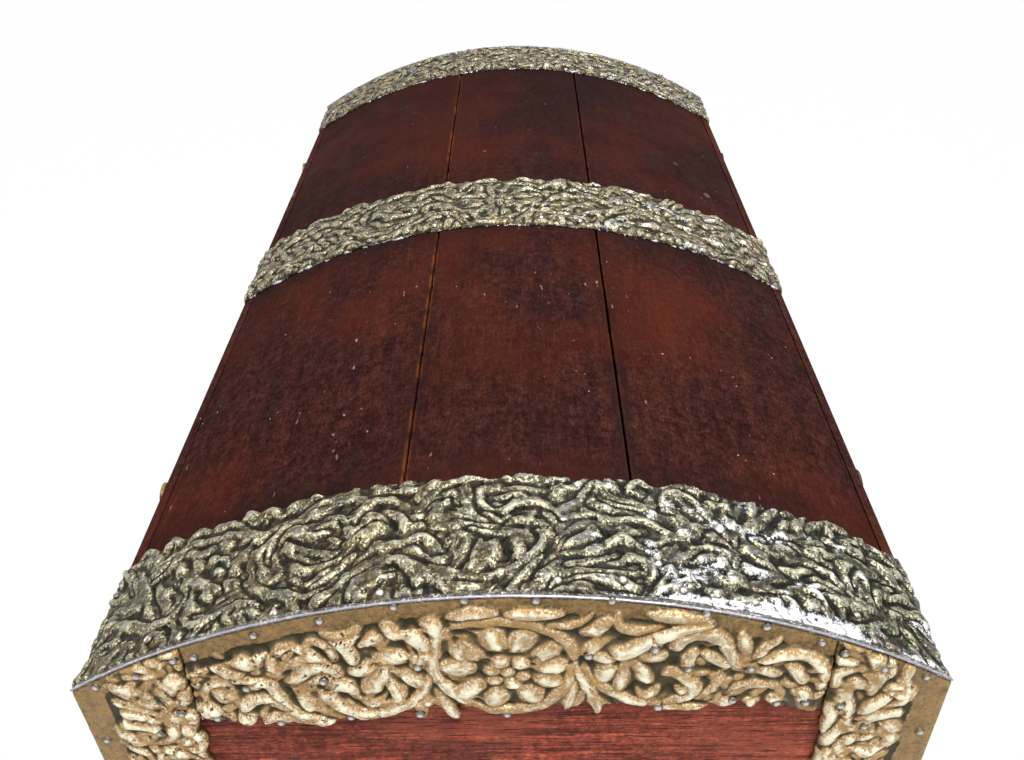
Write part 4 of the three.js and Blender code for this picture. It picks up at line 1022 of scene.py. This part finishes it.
# Straps down the body in line with the bands
def body_strap(kind, x_low, x_high, face, seed):
    relief = Relief((BODY_LOW, BODY_HIGH), (x_low, x_high), 1.45 * COARSE, 1.2, seed, **SILVERED_CAST)
    vine(relief, BODY_HIGH - 4, BODY_LOW + 4, x_low + 8, x_high - 8, seed)
    relief.press(relief.lobes(1.2, 4.2, seed + 5))
    relief.roughen(0.28, seed + 1)
    frost = 0.5 * np.clip((relief.noise(40, seed + 2) - 0.3) * 2, 0, 1)
    inset = 1.8 + relief.waver(seed + 40)
    keep = (np.abs(relief.V - (x_low + x_high) / 2) < (x_high - x_low) / 2 - inset) | relief.cover
    place = f"{FACES[face]}_{kind}"
    piece = relief.mesh(f"strap_{place}", on_wall(face), keep, frost=frost, warm=np.full(frost.shape, 0.6))
    dress(piece, "body", silvered, "silvered_brass", f"body_strap_{place}")


for index, (kind, span) in enumerate(SPANS.items()):
    for face in (1, -1):
        body_strap(kind, *span, face, 83 + 2 * index + face)


# The folded edging along the arches: out from the end, up from the dome, and how far each point is on the lip
EDGING_SECTION = [
    (-1.6, 2.2, 0), (0.4, 2.7, 0), (1.6, 2.8, 0), (2.1, 3.1, 0.7), (2.7, 3.4, 1),
    (3.2, 3.2, 1), (3.4, 2.8, 1), (3.2, 2.3, 0.7), (2.7, 1.8, 0), (2.5, 0.9, 0),
    (2.2, 0.2, 0), (0.4, -0.2, 0), (-1.4, 1.2, 0),
]
EDGING_STEPS = 320


def edging(side):
    co, lip = [], []
    for k, a in enumerate(np.linspace(-1, 1, EDGING_STEPS) * math.asin(OVER_DEPTH / OVER_RADIUS)):
        spot = (k * 2.2, side * 9.0)
        wave = 0.22 * value_noise(*spot, 9, 91) + 0.12 * value_noise(*spot, 4, 92)
        for out, up, bead in EDGING_SECTION:
            r = DOME_RADIUS + up + wave
            x = side * (HALF_LENGTH + out + 0.4 * wave)
            co.append((x, r * math.sin(a), DOME_CENTRE + r * math.cos(a)))
            lip.append(bead)
    faces = ring_faces(EDGING_STEPS, len(EDGING_SECTION))
    if side < 0:
        faces = faces[:, [0, 3, 2, 1]]
    piece = new_mesh(f"edging_{SIDES[side]}", np.array(co) * MM, faces)
    set_values(piece, "lip", lip)
    dress(piece, "lid", folded, "pewter", f"arch_edging_{SIDES[side]}")


edging(1)
edging(-1)


# Planks over the lid, with worn arrises: how far each row lies from the edge, and how far it drops
PLANK_INSETS = np.array([0.0, 0.35, 0.9, 1.8, 3.2, 5.5, 9])
PLANK_DROPS = np.array([0.75, 0.3, 0.08, 0.02, 0, 0, 0])
PLANK_COLUMNS = 360


def plank(node):
    low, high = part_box(node)
    y_low, y_high = low.y / MM, high.y / MM
    inner = np.linspace(y_low + 9, y_high - 9, max(6, round((y_high - y_low) / 7)))[1:-1]
    y_row = np.concatenate([y_low + PLANK_INSETS, inner, (y_high - PLANK_INSETS)[::-1]])
    drops = np.concatenate([PLANK_DROPS, np.zeros(len(inner)), PLANK_DROPS[::-1]])
    X, Y = np.meshgrid(np.linspace(low.x / MM, high.x / MM, PLANK_COLUMNS), y_row, indexing="ij")
    seed = int(abs(y_low)) + 3
    upper = Y > (y_low + y_high) / 2
    outer = np.abs(Y) > 200
    from_edge = np.minimum(Y - y_low, y_high - Y)
    chips = np.clip(value_noise(X, upper * 77.0, 9, seed) - 0.45, 0, 1) * 1.5
    chips = np.where(outer, 0, chips + 0.2 * value_noise(X, upper * 77.0, 21, seed + 1))
    wear = np.clip(chips, 0, None) * np.exp(-((from_edge / 1.7) ** 2))
    sway = 0.16 * value_noise(X, Y, 60, seed + 2) + 0.06 * value_noise(X, Y, 17, seed + 3)
    r = DOME_RADIUS - 0.2 - np.where(outer, 0.1, 1) * drops[None, :] - wear
    r = r + sway * np.clip(from_edge / 12, 0, 1)
    bent = Y + np.where(upper, -1, 1) * 0.35 * wear
    angle = np.arcsin(bent / DOME_RADIUS)
    top = np.stack([X, r * np.sin(angle), DOME_CENTRE + r * np.cos(angle)], 2)
    ru = DOME_RADIUS - PLANK
    under = np.stack([X, bent, DOME_CENTRE + np.sqrt(ru**2 - np.clip(bent, -ru, ru) ** 2)], 2)
    grid = np.arange(X.size).reshape(X.shape)
    quads = np.stack([grid[:-1, :-1], grid[1:, :-1], grid[1:, 1:], grid[:-1, 1:]], 2).reshape(-1, 4)
    faces = [quads, quads[:, ::-1] + X.size]
    for line in (grid[:, 0][::-1], grid[:, -1], grid[0, :], grid[-1, :][::-1]):
        faces.append(np.stack([line[:-1], line[1:], line[1:] + X.size, line[:-1] + X.size], 1))
    co = np.concatenate([top.reshape(-1, 3), under.reshape(-1, 3)]) * MM
    piece = new_mesh(f"{node}_worn", co, np.vstack(faces))
    edge = np.where(outer, 0, np.exp(-(from_edge**2)) * np.where(Y < 0, 1, 0.3))
    set_values(piece, "edge", np.append(edge, np.zeros(X.size)))
    gap = np.minimum.reduce([np.maximum(start - X, X - stop) for start, stop in SPANS.values()])
    # Darker beside the bands, along the plank joints and towards the left end
    darkening = np.exp(-((np.clip(gap, 0, None) / (26 + 12 * value_noise(X, Y, 28, seed + 5))) ** 1.5))
    darkening = np.maximum(0.8 * darkening, 0.85 * np.clip((240 - X) / 480, 0, 1))
    darkening = np.maximum(darkening, 0.8 * np.exp(-((from_edge / 5) ** 2)) * ~outer)
    set_values(piece, "darkening", np.append(darkening, np.ones(X.size)))
    dress(piece, "lid", dome_wood, "dome_wood", node)


for place in ("front", "crown", "back"):
    plank(f"lid_plank_{place}")


# Better materials and softened edges on the CAD nodes that stay
RAIL_BEVEL, WOOD_BEVEL, METAL_BEVEL = 0.0003, 0.0009, 0.0004


def soften(node, width):
    weld = node.modifiers.new("weld", "WELD")
    weld.merge_threshold = 0.00001
    bevel = node.modifiers.new("bevel", "BEVEL")
    bevel.width, bevel.segments, bevel.limit_method = width, 2, "ANGLE"
    bevel.angle_limit = math.radians(35)
    bevel.harden_normals = False
    normals = node.modifiers.new("normals", "WEIGHTED_NORMAL")
    normals.weight, normals.keep_sharp = 100, False
    shade_smooth(node.data)


for name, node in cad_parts.items():
    if node.hide_render:
        continue
    wooden = any(word in name for word in ("board", "rail", "rib", "runner"))
    if name in ("front_board", "back_board", "lid_front_rail", "lid_back_rail"):
        material = board_wood
    elif "end_board" in name:
        material = end_wood
    elif wooden:
        material = bare_wood
    else:
        material = iron if "hinge" in name else brass
    for slot in node.material_slots:
        slot.material = material
    soften(node, RAIL_BEVEL if "rail" in name else WOOD_BEVEL if wooden else METAL_BEVEL)


# The floor and the world look white, and light the trunk less than that
FLOOR_GLOW = 0.985
WORLD_LIGHT = 0.24

floor = new_mesh("floor", [(-4, -4, 0), (4, -4, 0), (4, 4, 0), (-4, 4, 0)], [(0, 1, 2, 3)], False)
paint = Material("floor")
glow = paint.add("ShaderNodeEmission", {"Strength": 1.0})
share = paint.times(paint.seen(), FLOOR_GLOW)
blend = paint.add("ShaderNodeMixShader", {0: share, 1: paint.shader.outputs[0], 2: glow})
paint.feed(paint.tree.nodes["Material Output"].inputs["Surface"], blend)
floor.data.materials.append(paint.finish(Base_Color=(0.9, 0.9, 0.9), Roughness=0.9))

world = bpy.data.worlds.new("studio")
bpy.context.scene.world = world
world.use_nodes = True
sky = Nodes(world.node_tree)
background = sky.tree.nodes["Background"]
sky.feed(background.inputs["Color"], (1, 1, 1))
sky.feed(background.inputs["Strength"], sky.range(sky.seen(), 0, 1, WORLD_LIGHT, 1.0))


def lamp(name, place, aim, size, power):
    light = bpy.data.lights.new(name, "AREA")
    light.shape, light.size, light.energy = "SQUARE", size, power
    obj = bpy.data.objects.new(name, light)
    bpy.context.scene.collection.objects.link(obj)
    obj.location = place
    obj.rotation_mode = "QUATERNION"
    obj.rotation_quaternion = (Vector(aim) - Vector(place)).to_track_quat("-Z", "Y")


lamp("key", (-0.1, 0.35, 2.4), (0.1, 0, 0.4), 0.8, 54)
lamp("front", (1.05, 0.45, 2.4), (0.3, 0, 0.4), 0.5, 46)
lamp("fill", (0, -2.4, 1.1), (0, 0, 0.25), 1.4, 16)

# The camera stands off the right end and looks down along the lid, as the photograph's does
PICTURE_WIDTH = 1024
FOCAL_PIXELS = 966.13
SENSOR = 36
CAMERA_PLACE = (0.7689, 0.0149, 0.8858)
CAMERA_PITCH, CAMERA_YAW, CAMERA_ROLL = (math.radians(a) for a in (36.08, -1.32, -1.80))

camera = bpy.data.objects.new("camera", bpy.data.cameras.new("camera"))
bpy.context.scene.collection.objects.link(camera)
bpy.context.scene.camera = camera
camera.data.sensor_width = SENSOR
camera.data.lens = SENSOR * FOCAL_PIXELS / PICTURE_WIDTH
camera.data.clip_start, camera.data.clip_end = 0.01, 50
flat = math.cos(CAMERA_PITCH)
forward = Vector((-math.cos(CAMERA_YAW) * flat, math.sin(CAMERA_YAW) * flat, -math.sin(CAMERA_PITCH)))
level = Vector((math.sin(CAMERA_YAW), math.cos(CAMERA_YAW), 0))
upward = level.cross(forward)
right = math.cos(CAMERA_ROLL) * level + math.sin(CAMERA_ROLL) * upward
upward = -math.sin(CAMERA_ROLL) * level + math.cos(CAMERA_ROLL) * upward
turned = Matrix((right, upward, -forward)).transposed().to_4x4()
camera.matrix_world = Matrix.Translation(CAMERA_PLACE) @ turned

bpy.context.scene.view_settings.view_transform = "Standard"
